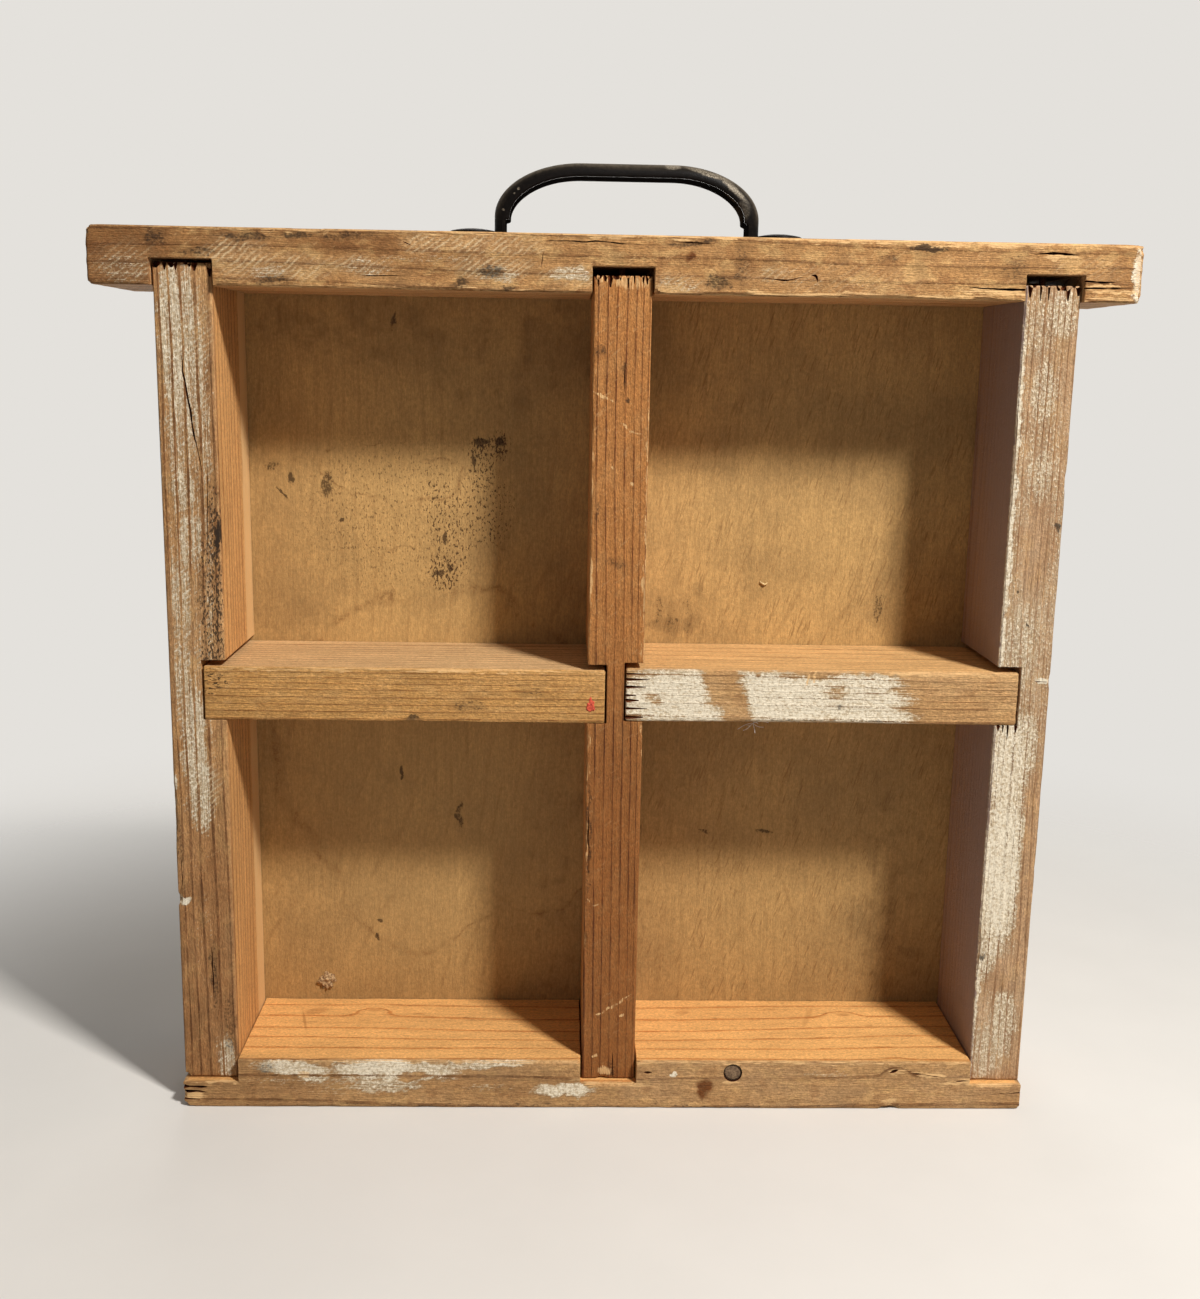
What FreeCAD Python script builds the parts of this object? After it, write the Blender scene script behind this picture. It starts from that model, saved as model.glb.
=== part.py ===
import FreeCAD, Part
import math
import os
from collections import namedtuple

# Open-fronted wooden caddy with four compartments, a plywood back and a steel carry handle.
# Millimetres. +X is right, +Y is the back and +Z is up. The origin is on the surface that the
# caddy stands on, in the middle of its width and depth.

Vec = FreeCAD.Vector
RIGHT = Vec(1, 0, 0)
LEFT = Vec(-1, 0, 0)
FRONT = Vec(0, -1, 0)
UP = Vec(0, 0, 1)
DOWN = Vec(0, 0, -1)

# Boards
UPRIGHT_T = 19.0            # left and centre upright
RIGHT_UPRIGHT_T = 18.2
UPRIGHT_DEPTH = 47.4        # front to back, shared by the uprights and the shelves
LEFT_BAY = 121.8            # clear width between left and centre upright
RIGHT_BAY = 120.8           # clear width between centre and right upright
INSIDE_HEIGHT = 264.9       # bottom board to top board
BOTTOM_T = 18.0
BOTTOM_PROUD = 3.5          # how far the bottom board stands in front of the uprights
TOP_T = 18.5
TOP_PROUD = 2.0
TOP_OVERHANG = 20.0         # past the outer face of each side
TOP_CORNER_R = 2.5          # upper corners of the board's ends
TOP_LOWER_CORNER_R = 1.4
TOP_ARRIS_R = 1.2           # long upper edges
SHELF_T = 18.4
LOWER_LEFT_CLEAR = 122.6    # bottom board to left shelf
LOWER_RIGHT_CLEAR = 123.4   # bottom board to right shelf
PANEL_T = 4.0
PANEL_MARGIN = 1.5          # panel edge to the outline of the boards

# Housings that the boards are let into
BOTTOM_HOUSING = 8.5        # depth of the rabbets and of the middle housing
TOP_HOUSING = 8.4
OUTER_SHELF_HOUSING = 8.0
CENTRE_SHELF_HOUSING = 6.5
UPRIGHT_SIDE_GAP = 0.4      # play at each side of an upright in its housing
LEFT_TOP_GAP = 1.0          # play above the upper end of each upright
CENTRE_TOP_GAP = 2.5
RIGHT_TOP_GAP = 3.1
SHELF_ROOF_GAP = 1.9        # play above a shelf in its housing
SHELF_END_GAP = 0.5         # play at each end of a shelf

# Old shallow hole in the front of the bottom board
OLD_HOLE_R = 3.3
OLD_HOLE_DEPTH = 2.0
OLD_HOLE_FROM_CENTRE = 34.9    # right of the centre upright
OLD_HOLE_BELOW_TOP = 4.3

# Carry handle, bent from sheet steel
HANDLE_OFF_CENTRE = 2.4
HANDLE_SPAN = 87.6          # over the outside of the legs
HANDLE_RISE = 24.0
HANDLE_WIDTH = 14.0
HANDLE_FLAT = 30.0          # straight length at the top of the bow
SHEET_T = 1.3
SHOULDER_DROP = 17.5        # height of the rounded shoulder, outside
BEND_R = 2.4                # outer rounding along the bow
BOW_DEPTH = 4.5             # height of the bow's side skirts at the top
SIDE_SKIRT = 5.1            # depth of the skirts at the shoulder's foot
SKIRT_SPRING_UP = 3.0       # where the inner curve of the skirts springs from
SKIRT_STOP_UP = 5.4         # the skirts step back to the legs at this height
LEG_DEPTH = 3.0
FOOT_R = 8.0
FOOT_RISE = 2.9
FOOT_CROWN_R = 31.6
FOOT_RIM_R = 0.8
FOOT_LAP = 0.8              # how far a foot runs under its leg

# Screws that hold the handle
SCREW_SHANK_R = 2.0
SCREW_HEAD_R = 3.9
SCREW_LENGTH = 16.0
SCREW_TIP = 4.0
SCREW_SINK = 0.2            # below the crown of the foot
SLOT_WIDTH = 1.0
SLOT_DEPTH = 0.9

# Nails and brads: radius of shank and head, thickness of head, whole length, length of the point
Nail = namedtuple("Nail", "shank_r head_r head_t length point")
WIRE_NAIL = Nail(shank_r=1.1, head_r=2.4, head_t=1.0, length=32.0, point=3.0)
BRAD = Nail(shank_r=0.6, head_r=1.3, head_t=0.5, length=18.0, point=1.8)
NAIL_SINK = 0.3             # heads lie this far below the wood
NAIL_FROM_EDGE = 12.0       # nails from the front and back edge of an upright
FIT_GAP = 0.05              # play round a shank or head in its hole

# Places that follow from the sizes
BODY_WIDTH = UPRIGHT_T + LEFT_BAY + UPRIGHT_T + RIGHT_BAY + RIGHT_UPRIGHT_T
DEPTH = BOTTOM_PROUD + UPRIGHT_DEPTH + PANEL_T
BOARD_FRONT = -DEPTH / 2
UPRIGHT_FRONT = BOARD_FRONT + BOTTOM_PROUD
TOP_FRONT = UPRIGHT_FRONT - TOP_PROUD
BOARD_BACK = UPRIGHT_FRONT + UPRIGHT_DEPTH
PANEL_BACK = BOARD_BACK + PANEL_T
BODY_LEFT = -BODY_WIDTH / 2
BODY_RIGHT = BODY_WIDTH / 2
LEFT_WALL = BODY_LEFT + UPRIGHT_T
CENTRE_LEFT = LEFT_WALL + LEFT_BAY
CENTRE_RIGHT = CENTRE_LEFT + UPRIGHT_T
RIGHT_WALL = CENTRE_RIGHT + RIGHT_BAY
FOOT_LEVEL = BOTTOM_T - BOTTOM_HOUSING
CEILING = BOTTOM_T + INSIDE_HEIGHT
NOTCH_ROOF = CEILING + TOP_HOUSING
TOP_FACE = CEILING + TOP_T
LEFT_SHELF_BASE = BOTTOM_T + LOWER_LEFT_CLEAR
RIGHT_SHELF_BASE = BOTTOM_T + LOWER_RIGHT_CLEAR
HANDLE_Y = (TOP_FRONT + BOARD_BACK) / 2
CUT_PAST = 5.0              # cutters run this far past the face they open

UPRIGHTS = {
    "left": (BODY_LEFT, LEFT_WALL, LEFT_TOP_GAP),
    "centre": (CENTRE_LEFT, CENTRE_RIGHT, CENTRE_TOP_GAP),
    "right": (RIGHT_WALL, BODY_RIGHT, RIGHT_TOP_GAP),
}
SHELVES = {
    "left": (LEFT_WALL - OUTER_SHELF_HOUSING, CENTRE_LEFT + CENTRE_SHELF_HOUSING, LEFT_SHELF_BASE),
    "right": (CENTRE_RIGHT - CENTRE_SHELF_HOUSING, RIGHT_WALL + OUTER_SHELF_HOUSING, RIGHT_SHELF_BASE),
}
BAYS = {"left": (LEFT_WALL, CENTRE_LEFT), "right": (CENTRE_RIGHT, RIGHT_WALL)}


def block(x0, x1, y0, y1, z0, z1):
    """A box between two corners."""
    return Part.makeBox(x1 - x0, y1 - y0, z1 - z0, Vec(x0, y0, z0))


def cut_all(solid, cutters):
    """The solid with every cutter taken out of it."""
    return solid.cut(Part.makeCompound(cutters)).Solids[0]


def shares(start, end, count):
    """Places that divide a stretch evenly, with half a step left at each end."""
    step = (end - start) / count
    return [start + step * (index + 0.5) for index in range(count)]


def nail_solid(nail, surface, direction):
    """A nail driven from a point of the wood's surface."""
    head_face = surface + direction * NAIL_SINK
    shank_length = nail.length - nail.point
    head = Part.makeCylinder(nail.head_r, nail.head_t, head_face, direction)
    shank = Part.makeCylinder(nail.shank_r, shank_length, head_face, direction)
    point = Part.makeCone(nail.shank_r, 0, nail.point, head_face + direction * shank_length, direction)
    return head.fuse([shank, point]).removeSplitter().Solids[0]


def nail_hole(nail, surface, direction):
    """The hole that the nail leaves, open at the wood's surface."""
    mouth = surface - direction * CUT_PAST
    head_end = CUT_PAST + NAIL_SINK + nail.head_t + FIT_GAP
    shank_end = CUT_PAST + NAIL_SINK + nail.length + FIT_GAP
    head = Part.makeCylinder(nail.head_r + FIT_GAP, head_end, mouth, direction)
    shank = Part.makeCylinder(nail.shank_r + FIT_GAP, shank_end, mouth, direction)
    return head.fuse(shank)


def nail_rows():
    """Each group of nails: its kind, its direction and where each one enters the wood."""
    rows = {}
    depths = (UPRIGHT_FRONT + NAIL_FROM_EDGE, BOARD_BACK - NAIL_FROM_EDGE)
    for side, (x0, x1, _) in UPRIGHTS.items():
        middle = (x0 + x1) / 2
        rows[f"{side}_top_nails"] = (WIRE_NAIL, DOWN, [Vec(middle, y, TOP_FACE) for y in depths])
        rows[f"{side}_bottom_nails"] = (WIRE_NAIL, UP, [Vec(middle, y, 0) for y in depths])
    outer_faces = {"left": (BODY_LEFT, RIGHT), "right": (BODY_RIGHT, LEFT)}
    for side, (outer_x, direction) in outer_faces.items():
        z = SHELVES[side][2] + SHELF_T / 2
        rows[f"{side}_shelf_nails"] = (WIRE_NAIL, direction, [Vec(outer_x, y, z) for y in depths])
    return rows


def brad_rows():
    """Each group of brads through the back panel, by the board that it goes into."""
    bay_places = [x for bay in BAYS.values() for x in shares(*bay, 2)]
    places = {
        "top_brads": [(x, CEILING + TOP_T / 2) for x in bay_places],
        "bottom_brads": [(x, BOTTOM_T / 2) for x in bay_places],
    }
    for side, (x0, x1, _) in UPRIGHTS.items():
        base = RIGHT_SHELF_BASE if side == "right" else LEFT_SHELF_BASE
        heights = shares(BOTTOM_T, base, 2) + shares(base + SHELF_T, CEILING, 2)
        places[f"{side}_brads"] = [((x0 + x1) / 2, z) for z in heights]
    for side, bay in BAYS.items():
        z = SHELVES[side][2] + SHELF_T / 2
        places[f"{side}_shelf_brads"] = [(x, z) for x in shares(*bay, 2)]
    return {
        name: (BRAD, FRONT, [Vec(x, PANEL_BACK, z) for x, z in row])
        for name, row in places.items()
    }


def row_solids(row):
    """The nails of one group, as separate solids."""
    nail, direction, points = row
    return Part.makeCompound([nail_solid(nail, point, direction) for point in points])


def row_holes(rows, names):
    """The holes of the named groups."""
    holes = []
    for name in names:
        nail, direction, points = rows[name]
        holes += [nail_hole(nail, point, direction) for point in points]
    return holes


def handle_feet():
    """The middle of each foot of the handle, on the top board."""
    reach = HANDLE_SPAN / 2 + FOOT_R - FOOT_LAP
    return [Vec(HANDLE_OFF_CENTRE + sign * reach, HANDLE_Y, TOP_FACE) for sign in (-1, 1)]


def screw_shape(foot, play):
    """A countersunk screw in a foot of the handle, grown by some play for its hole."""
    head_top = foot + UP * (FOOT_RISE - SCREW_SINK)
    head_height = SCREW_HEAD_R - SCREW_SHANK_R
    shank_length = SCREW_LENGTH - SCREW_TIP
    tip_start = head_top + DOWN * shank_length
    head = Part.makeCone(SCREW_HEAD_R + play, SCREW_SHANK_R + play, head_height, head_top, DOWN)
    shank = Part.makeCylinder(SCREW_SHANK_R + play, shank_length, head_top, DOWN)
    tip = Part.makeCone(SCREW_SHANK_R + play, play, SCREW_TIP, tip_start, DOWN)
    return head.fuse([shank, tip]).removeSplitter().Solids[0]


def handle_screw(foot):
    """One slotted screw."""
    head_top = TOP_FACE + FOOT_RISE - SCREW_SINK
    slot = block(
        foot.x - SCREW_HEAD_R, foot.x + SCREW_HEAD_R,
        foot.y - SLOT_WIDTH / 2, foot.y + SLOT_WIDTH / 2,
        head_top - SLOT_DEPTH, head_top + SLOT_DEPTH,
    )
    return cut_all(screw_shape(foot, 0), [slot])


def arch_face(half_span, half_flat, spring_up, top_up, foot_up, y):
    """An upright arch with quarter-ellipse shoulders, drawn about the middle of the handle."""
    wide = half_span - half_flat
    tall = top_up - spring_up
    quarter = math.pi / 2

    def point(x, z):
        return Vec(HANDLE_OFF_CENTRE + x, y, TOP_FACE + z)

    def shoulder(side):
        middle = point(side * half_flat, spring_up)
        across = middle + Vec(side * wide, 0, 0)
        above = middle + Vec(0, 0, tall)
        major, minor = (across, above) if wide >= tall else (above, across)
        return Part.ArcOfEllipse(Part.Ellipse(major, minor, middle), 0, quarter).toShape()

    corners = [
        point(-half_span, spring_up), point(-half_span, foot_up),
        point(half_span, foot_up), point(half_span, spring_up),
    ]
    edges = [Part.makeLine(corners[i], corners[i + 1]) for i in range(3)]
    edges.append(shoulder(1))
    edges.append(Part.makeLine(point(half_flat, top_up), point(-half_flat, top_up)))
    edges.append(shoulder(-1))
    return Part.Face(Part.Wire(Part.__sortEdges__(edges)))


def handle_bow():
    """The bow and legs: a channel with its open side towards the fingers."""
    half_flat = HANDLE_FLAT / 2
    half_span = HANDLE_SPAN / 2
    front = HANDLE_Y - HANDLE_WIDTH / 2
    spring_up = HANDLE_RISE - SHOULDER_DROP
    through = Vec(0, HANDLE_WIDTH, 0)
    outside = arch_face(half_span, half_flat, spring_up, HANDLE_RISE, 0, front).extrude(through)
    rims = [edge for edge in outside.Edges if is_outer_rim(edge)]
    outside = outside.makeFillet(BEND_R, rims)

    hollow = arch_face(
        half_span - SHEET_T, half_flat, spring_up, HANDLE_RISE - SHEET_T, -CUT_PAST, front + SHEET_T,
    ).extrude(Vec(0, HANDLE_WIDTH - 2 * SHEET_T, 0))
    past = Vec(0, HANDLE_WIDTH + 2 * CUT_PAST, 0)
    fingers = arch_face(
        half_span - SIDE_SKIRT, half_flat, SKIRT_SPRING_UP, HANDLE_RISE - BOW_DEPTH,
        -CUT_PAST, front - CUT_PAST,
    ).extrude(past)
    inner_leg = half_span - LEG_DEPTH
    steps = block(
        HANDLE_OFF_CENTRE - inner_leg, HANDLE_OFF_CENTRE + inner_leg,
        front - CUT_PAST, front + HANDLE_WIDTH + CUT_PAST,
        TOP_FACE - CUT_PAST, TOP_FACE + SKIRT_STOP_UP,
    )
    return cut_all(outside, [hollow, fingers.fuse(steps)])


def is_outer_rim(edge):
    """True for an edge that runs along the front or back of the arch's outer curve."""
    ends = [vertex.Point for vertex in edge.Vertexes]
    along_face = all(abs(abs(end.y - HANDLE_Y) - HANDLE_WIDTH / 2) < FIT_GAP for end in ends)
    same_face = abs(ends[0].y - ends[-1].y) < FIT_GAP
    on_board = all(abs(end.z - TOP_FACE) < FIT_GAP for end in ends)
    return along_face and same_face and not on_board


def handle_foot(foot):
    """A domed cup of sheet steel that one leg stands on."""
    crown_middle = foot + UP * (FOOT_RISE - FOOT_CROWN_R)
    rim = Part.makeCylinder(FOOT_R, FOOT_RISE, foot)
    dome = rim.common(Part.makeSphere(FOOT_CROWN_R, crown_middle)).Solids[0]
    top_rim = [
        edge for edge in dome.Edges
        if len(edge.Vertexes) == 1 and edge.Vertexes[0].Z > TOP_FACE + FIT_GAP
    ]
    dome = dome.makeFillet(FOOT_RIM_R, top_rim)
    inside = Part.makeCylinder(FOOT_R - SHEET_T, FOOT_RISE + CUT_PAST, foot + DOWN * CUT_PAST)
    inside = inside.common(Part.makeSphere(FOOT_CROWN_R - SHEET_T, crown_middle))
    return dome.cut(inside)


def carry_handle():
    """Bow, legs and feet in one stamping, with a countersunk hole in each foot."""
    feet = handle_feet()
    handle = handle_bow().fuse([handle_foot(foot) for foot in feet])
    mouths = []
    for foot in feet:
        head_top = foot + UP * (FOOT_RISE - SCREW_SINK)
        mouths.append(Part.makeCylinder(SCREW_HEAD_R + FIT_GAP, CUT_PAST, head_top))
        mouths.append(screw_shape(foot, FIT_GAP))
    return cut_all(handle, mouths)


def rounded_top_blank():
    """The top board before its notches, with worn round ends and long edges."""
    left = BODY_LEFT - TOP_OVERHANG
    right = BODY_RIGHT + TOP_OVERHANG
    board = block(left, right, TOP_FRONT, BOARD_BACK, CEILING, TOP_FACE)
    for radius, z in ((TOP_CORNER_R, TOP_FACE), (TOP_LOWER_CORNER_R, CEILING)):
        ends = [edge for edge in board.Edges if runs_along_y(edge) and at_height(edge, z)]
        board = board.makeFillet(radius, ends)
    long_edges = [edge for edge in board.Edges if runs_along_x(edge) and at_height(edge, TOP_FACE)]
    return board.makeFillet(TOP_ARRIS_R, long_edges)


def runs_along_y(edge):
    """True for a straight edge along the depth."""
    span = edge.BoundBox
    return span.YLength > FIT_GAP and span.XLength < FIT_GAP and span.ZLength < FIT_GAP


def runs_along_x(edge):
    """True for a straight edge along the width."""
    span = edge.BoundBox
    return span.XLength > FIT_GAP and span.YLength < FIT_GAP and span.ZLength < FIT_GAP


def at_height(edge, z):
    """True for an edge that lies at one height."""
    return abs(edge.BoundBox.ZMin - z) < FIT_GAP and abs(edge.BoundBox.ZMax - z) < FIT_GAP


def upright_housing(x0, x1, z0, z1):
    """The cutter for an upright's housing, right through a board from front to back."""
    return block(
        x0 - UPRIGHT_SIDE_GAP, x1 + UPRIGHT_SIDE_GAP,
        BOARD_FRONT - CUT_PAST, BOARD_BACK + CUT_PAST, z0, z1,
    )


def top_board(rows):
    """The board that the handle is screwed to, notched over the three uprights."""
    cutters = [
        upright_housing(x0, x1, CEILING - CUT_PAST, NOTCH_ROOF) for x0, x1, _ in UPRIGHTS.values()
    ]
    cutters += row_holes(rows, [f"{side}_top_nails" for side in UPRIGHTS] + ["top_brads"])
    cutters += [screw_shape(foot, FIT_GAP) for foot in handle_feet()]
    return cut_all(rounded_top_blank(), cutters)


def bottom_board(rows):
    """The board that the caddy stands on, rabbeted at its ends and housed in the middle."""
    board = block(BODY_LEFT, BODY_RIGHT, BOARD_FRONT, BOARD_BACK, 0, BOTTOM_T)
    cutters = [
        upright_housing(x0, x1, FOOT_LEVEL, BOTTOM_T + CUT_PAST) for x0, x1, _ in UPRIGHTS.values()
    ]
    old_hole = Vec(
        CENTRE_RIGHT + OLD_HOLE_FROM_CENTRE, BOARD_FRONT + OLD_HOLE_DEPTH, BOTTOM_T - OLD_HOLE_BELOW_TOP,
    )
    cutters.append(Part.makeCylinder(OLD_HOLE_R, OLD_HOLE_DEPTH + CUT_PAST, old_hole, FRONT))
    cutters += row_holes(rows, [f"{side}_bottom_nails" for side in UPRIGHTS] + ["bottom_brads"])
    return cut_all(board, cutters)


def upright(side, rows):
    """One of the three standing boards, with a housing for each shelf that it carries."""
    x0, x1, top_gap = UPRIGHTS[side]
    board = block(x0, x1, UPRIGHT_FRONT, BOARD_BACK, FOOT_LEVEL, NOTCH_ROOF - top_gap)
    cutters = []
    for start, end, base in SHELVES.values():
        cutters.append(block(
            start, end, UPRIGHT_FRONT - CUT_PAST, BOARD_BACK + CUT_PAST,
            base, base + SHELF_T + SHELF_ROOF_GAP,
        ))
    groups = [f"{side}_top_nails", f"{side}_bottom_nails", f"{side}_brads"]
    if side in SHELVES:
        groups.append(f"{side}_shelf_nails")
    return cut_all(board, cutters + row_holes(rows, groups))


def shelf(side, rows):
    """A short board let into the uprights at both ends."""
    start, end, base = SHELVES[side]
    board = block(
        start + SHELF_END_GAP, end - SHELF_END_GAP, UPRIGHT_FRONT, BOARD_BACK, base, base + SHELF_T,
    )
    return cut_all(board, row_holes(rows, [f"{side}_shelf_nails", f"{side}_shelf_brads"]))


def back_panel(rows, brads):
    """The plywood sheet behind the boards."""
    sheet = block(
        BODY_LEFT + PANEL_MARGIN, BODY_RIGHT - PANEL_MARGIN, BOARD_BACK, PANEL_BACK,
        PANEL_MARGIN, TOP_FACE - PANEL_MARGIN,
    )
    return cut_all(sheet, row_holes(rows, brads))


def build():
    """Every node of the caddy by name."""
    nails = nail_rows()
    brads = brad_rows()
    rows = {**nails, **brads}
    nodes = {
        "top_board": top_board(rows),
        "bottom_board": bottom_board(rows),
        "back_panel": back_panel(rows, brads),
        "carry_handle": carry_handle(),
        "handle_screws": Part.makeCompound([handle_screw(foot) for foot in handle_feet()]),
    }
    for side in UPRIGHTS:
        nodes[f"{side}_upright"] = upright(side, rows)
    for side in SHELVES:
        nodes[f"{side}_shelf"] = shelf(side, rows)
    for name, row in rows.items():
        nodes[name] = row_solids(row)
    return nodes


os.makedirs("parts", exist_ok=True)
for node, shape in build().items():
    shape.exportStep(f"parts/{node}.step")
    print(node, len(shape.Solids), "solids", round(shape.Volume, 1), "mm3", shape.isValid())
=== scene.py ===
import math
from collections import Counter, namedtuple
from itertools import product

import bmesh
import bpy
import numpy as np
from mathutils import Matrix, Vector


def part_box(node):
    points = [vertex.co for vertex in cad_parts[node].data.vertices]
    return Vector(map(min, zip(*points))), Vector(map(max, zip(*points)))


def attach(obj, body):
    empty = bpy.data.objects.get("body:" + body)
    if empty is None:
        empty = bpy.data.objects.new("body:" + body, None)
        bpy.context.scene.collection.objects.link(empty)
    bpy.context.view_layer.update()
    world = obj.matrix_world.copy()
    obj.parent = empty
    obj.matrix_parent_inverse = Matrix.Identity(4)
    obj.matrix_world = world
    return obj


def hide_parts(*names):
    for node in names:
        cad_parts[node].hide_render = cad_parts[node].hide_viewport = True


# An old open-fronted caddy: weathered pine boards let into each other, a plywood back and a black
# steel carry handle. Places and sizes are in millimetres: +X is right, +Y the back and +Z up.

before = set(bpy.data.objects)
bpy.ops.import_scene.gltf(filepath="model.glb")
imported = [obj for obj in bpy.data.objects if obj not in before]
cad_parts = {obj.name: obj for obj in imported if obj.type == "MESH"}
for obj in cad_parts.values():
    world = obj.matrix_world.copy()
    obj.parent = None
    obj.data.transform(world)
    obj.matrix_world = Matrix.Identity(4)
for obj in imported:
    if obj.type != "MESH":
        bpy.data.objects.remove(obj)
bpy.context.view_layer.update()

MM = 0.001
SIDES = ("left", "centre", "right")
DOWN, UP = (0, 0, -1), (0, 0, 1)
LEFT, RIGHT = (-1, 0, 0), (1, 0, 0)
FRONT, BACK = (0, -1, 0), (0, 1, 0)

# Play in the housings that the boards are let into
HOUSING_PLAY = 0.4
TOP_PLAY = {"left": 1.0, "centre": 2.5, "right": 3.1}
SHELF_ROOF_PLAY = 1.9
SHELF_END_PLAY = 0.5
MOUTH = 20.0                # a housing runs this far past the face that it opens
THROUGH = 100.0             # and this far to the front and the back

# Grids that the boards are meshed on
EDGE_LINES = (0.25, 0.6, 1.1, 1.8)
LONG_STEP = 2.6             # along the grain
CROSS_STEP = 1.0            # across the face that shows
DEPTH_STEP = 2.4
LYING = (LONG_STEP, DEPTH_STEP, CROSS_STEP)
STANDING = (CROSS_STEP, DEPTH_STEP, LONG_STEP)
PANEL_STEPS = (3.6, 1.0, 3.6)
SHARP_EDGE = 38.0           # faces that meet at more degrees than this keep a sharp edge

# Wear
WEAR_PASSES = 7
WEAR_PROBE = 0.02
WEAR_LENGTH = 9.0           # length of a worn stretch of an edge
HOUSING_SHARP = 0.65        # share of the wear that the edges of housings are spared
SAG_SIZE = 42.0             # long waves in a face that has moved with damp
SAG_DEPTH = 0.12
CUT_LIFT = 0.8              # cutters start this far above the face

# Fasteners, as in the frame
Nail = namedtuple("Nail", "head_r head_t shank_r length point")
WIRE_NAIL = Nail(head_r=2.4, head_t=1.0, shank_r=1.1, length=32.0, point=3.0)
BRAD = Nail(head_r=1.3, head_t=0.5, shank_r=0.6, length=18.0, point=1.8)
NAIL_SINK = 0.3
FIT_GAP = 0.05


def srgb(red, green, blue):
    """A colour written from 0 to 255, in the linear values that shaders take."""
    def linear(value):
        value /= 255
        return value / 12.92 if value <= 0.04045 else ((value + 0.055) / 1.055) ** 2.4
    return (linear(red), linear(green), linear(blue), 1.0)


# Shapes: noise, boards and what is cut into them

def node_box(node):
    """Lowest and highest corner of a node of the frame, in millimetres."""
    low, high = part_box(node)
    return np.array(low) / MM, np.array(high) / MM


def lattice(cells, seed):
    """A repeatable number from 0 to 1 for each whole cell."""
    mixed = np.sin(cells @ np.array([127.1, 311.7, 74.7]) + 53.3 * seed) * 43758.5453
    return mixed - np.floor(mixed)


def drift(points, size, seed):
    """Smooth noise from -1 to 1 with bumps of about the given size, or of one size per axis."""
    scaled = np.asarray(points) / size
    base = np.floor(scaled)
    part = scaled - base
    part = part * part * (3 - 2 * part)
    total = np.zeros(len(scaled))
    for corner in product((0, 1), repeat=3):
        weight = np.where(corner, part, 1 - part).prod(axis=1)
        total += weight * lattice(base + corner, seed)
    return 2 * total - 1


def smooth(values, start, end):
    """A smooth step from 0 at start to 1 at end."""
    share = np.clip((values - start) / (end - start), 0, 1)
    return share * share * (3 - 2 * share)


# The heart is where the middle of the tree was, in the plane across the grain
Grain = namedtuple("Grain", "axis heart ring_gap waver seed knots", defaults=[()])
Chip = namedtuple("Chip", "place reach bite")
Board = namedtuple("Board", "box notches grain wear relief chips faces")


def ring_phase(points, grain):
    """How many growth rings lie between the heart of the tree and each point."""
    across = [axis for axis in range(3) if axis != grain.axis]
    radius = np.hypot(*(points[:, across] - grain.heart).T)
    size = np.full(3, 26.0)
    size[grain.axis] = 130.0
    radius = radius + grain.waver * drift(points, size, grain.seed)
    radius = radius + 0.22 * grain.waver * drift(points, size / 3.5, grain.seed + 1)
    uneven = np.stack([radius, np.zeros_like(radius), np.zeros_like(radius)], axis=1)
    radius = radius + 0.55 * grain.ring_gap * drift(uneven, 2.7 * grain.ring_gap, grain.seed + 2)
    for place, size, push in grain.knots:
        away = ((points - place) / size) ** 2
        radius = radius + push * np.exp(-away.sum(axis=1))
    return radius / grain.ring_gap


def late_wood(phase):
    """Share of hard late wood, which ends each growth ring."""
    part = phase - np.floor(phase)
    return smooth(part, 0.45, 0.85) * (1 - smooth(part, 0.94, 1.0))


def grid_lines(breaks, step):
    """Grid lines along one axis: close to each break, and a step apart between them."""
    lines = []
    for start, end in zip(breaks, breaks[1:]):
        near = [0.0] + [line for line in EDGE_LINES if line < 0.35 * (end - start)]
        first, last = start + near[-1], end - near[-1]
        count = max(1, round((last - first) / step))
        lines += [start + line for line in near[:-1]]
        lines += list(np.linspace(first, last, count + 1))
        lines += [end - line for line in near[-2:0:-1]]
    lines.append(breaks[-1])
    return np.array(lines)


def axis_breaks(board, axis):
    """Where the board's outline has a face across one axis."""
    low, high = board.box[0][axis], board.box[1][axis]
    places = {low, high}
    for notch in board.notches:
        places |= {round(float(edge[axis]), 3) for edge in notch if low < edge[axis] < high}
    return sorted(places)


def board_faces(xs, ys, zs, solid):
    """Quads round the solid cells of a board, as grid indices with outward order."""
    faces = []
    filled = np.pad(solid, 1)
    last = len(ys) - 1
    for i, k in product(range(len(xs)), range(len(zs))):
        here = filled[i + 1, k + 1]
        if here:
            ring = [(i, k), (i + 1, k), (i + 1, k + 1), (i, k + 1)]
            faces.append([(a, 0, c) for a, c in ring])
            faces.append([(a, last, c) for a, c in reversed(ring)])
        for before, step in ((filled[i, k + 1], (0, 1)), (filled[i + 1, k], (1, 0))):
            if before == here:
                continue
            for j in range(last):
                along = (i + step[0], k + step[1])
                quad = [(i, j, k), (i, j + 1, k), (along[0], j + 1, along[1]), (along[0], j, along[1])]
                outward = before if step == (0, 1) else not before
                faces.append(quad if outward else quad[::-1])
    return faces


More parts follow.
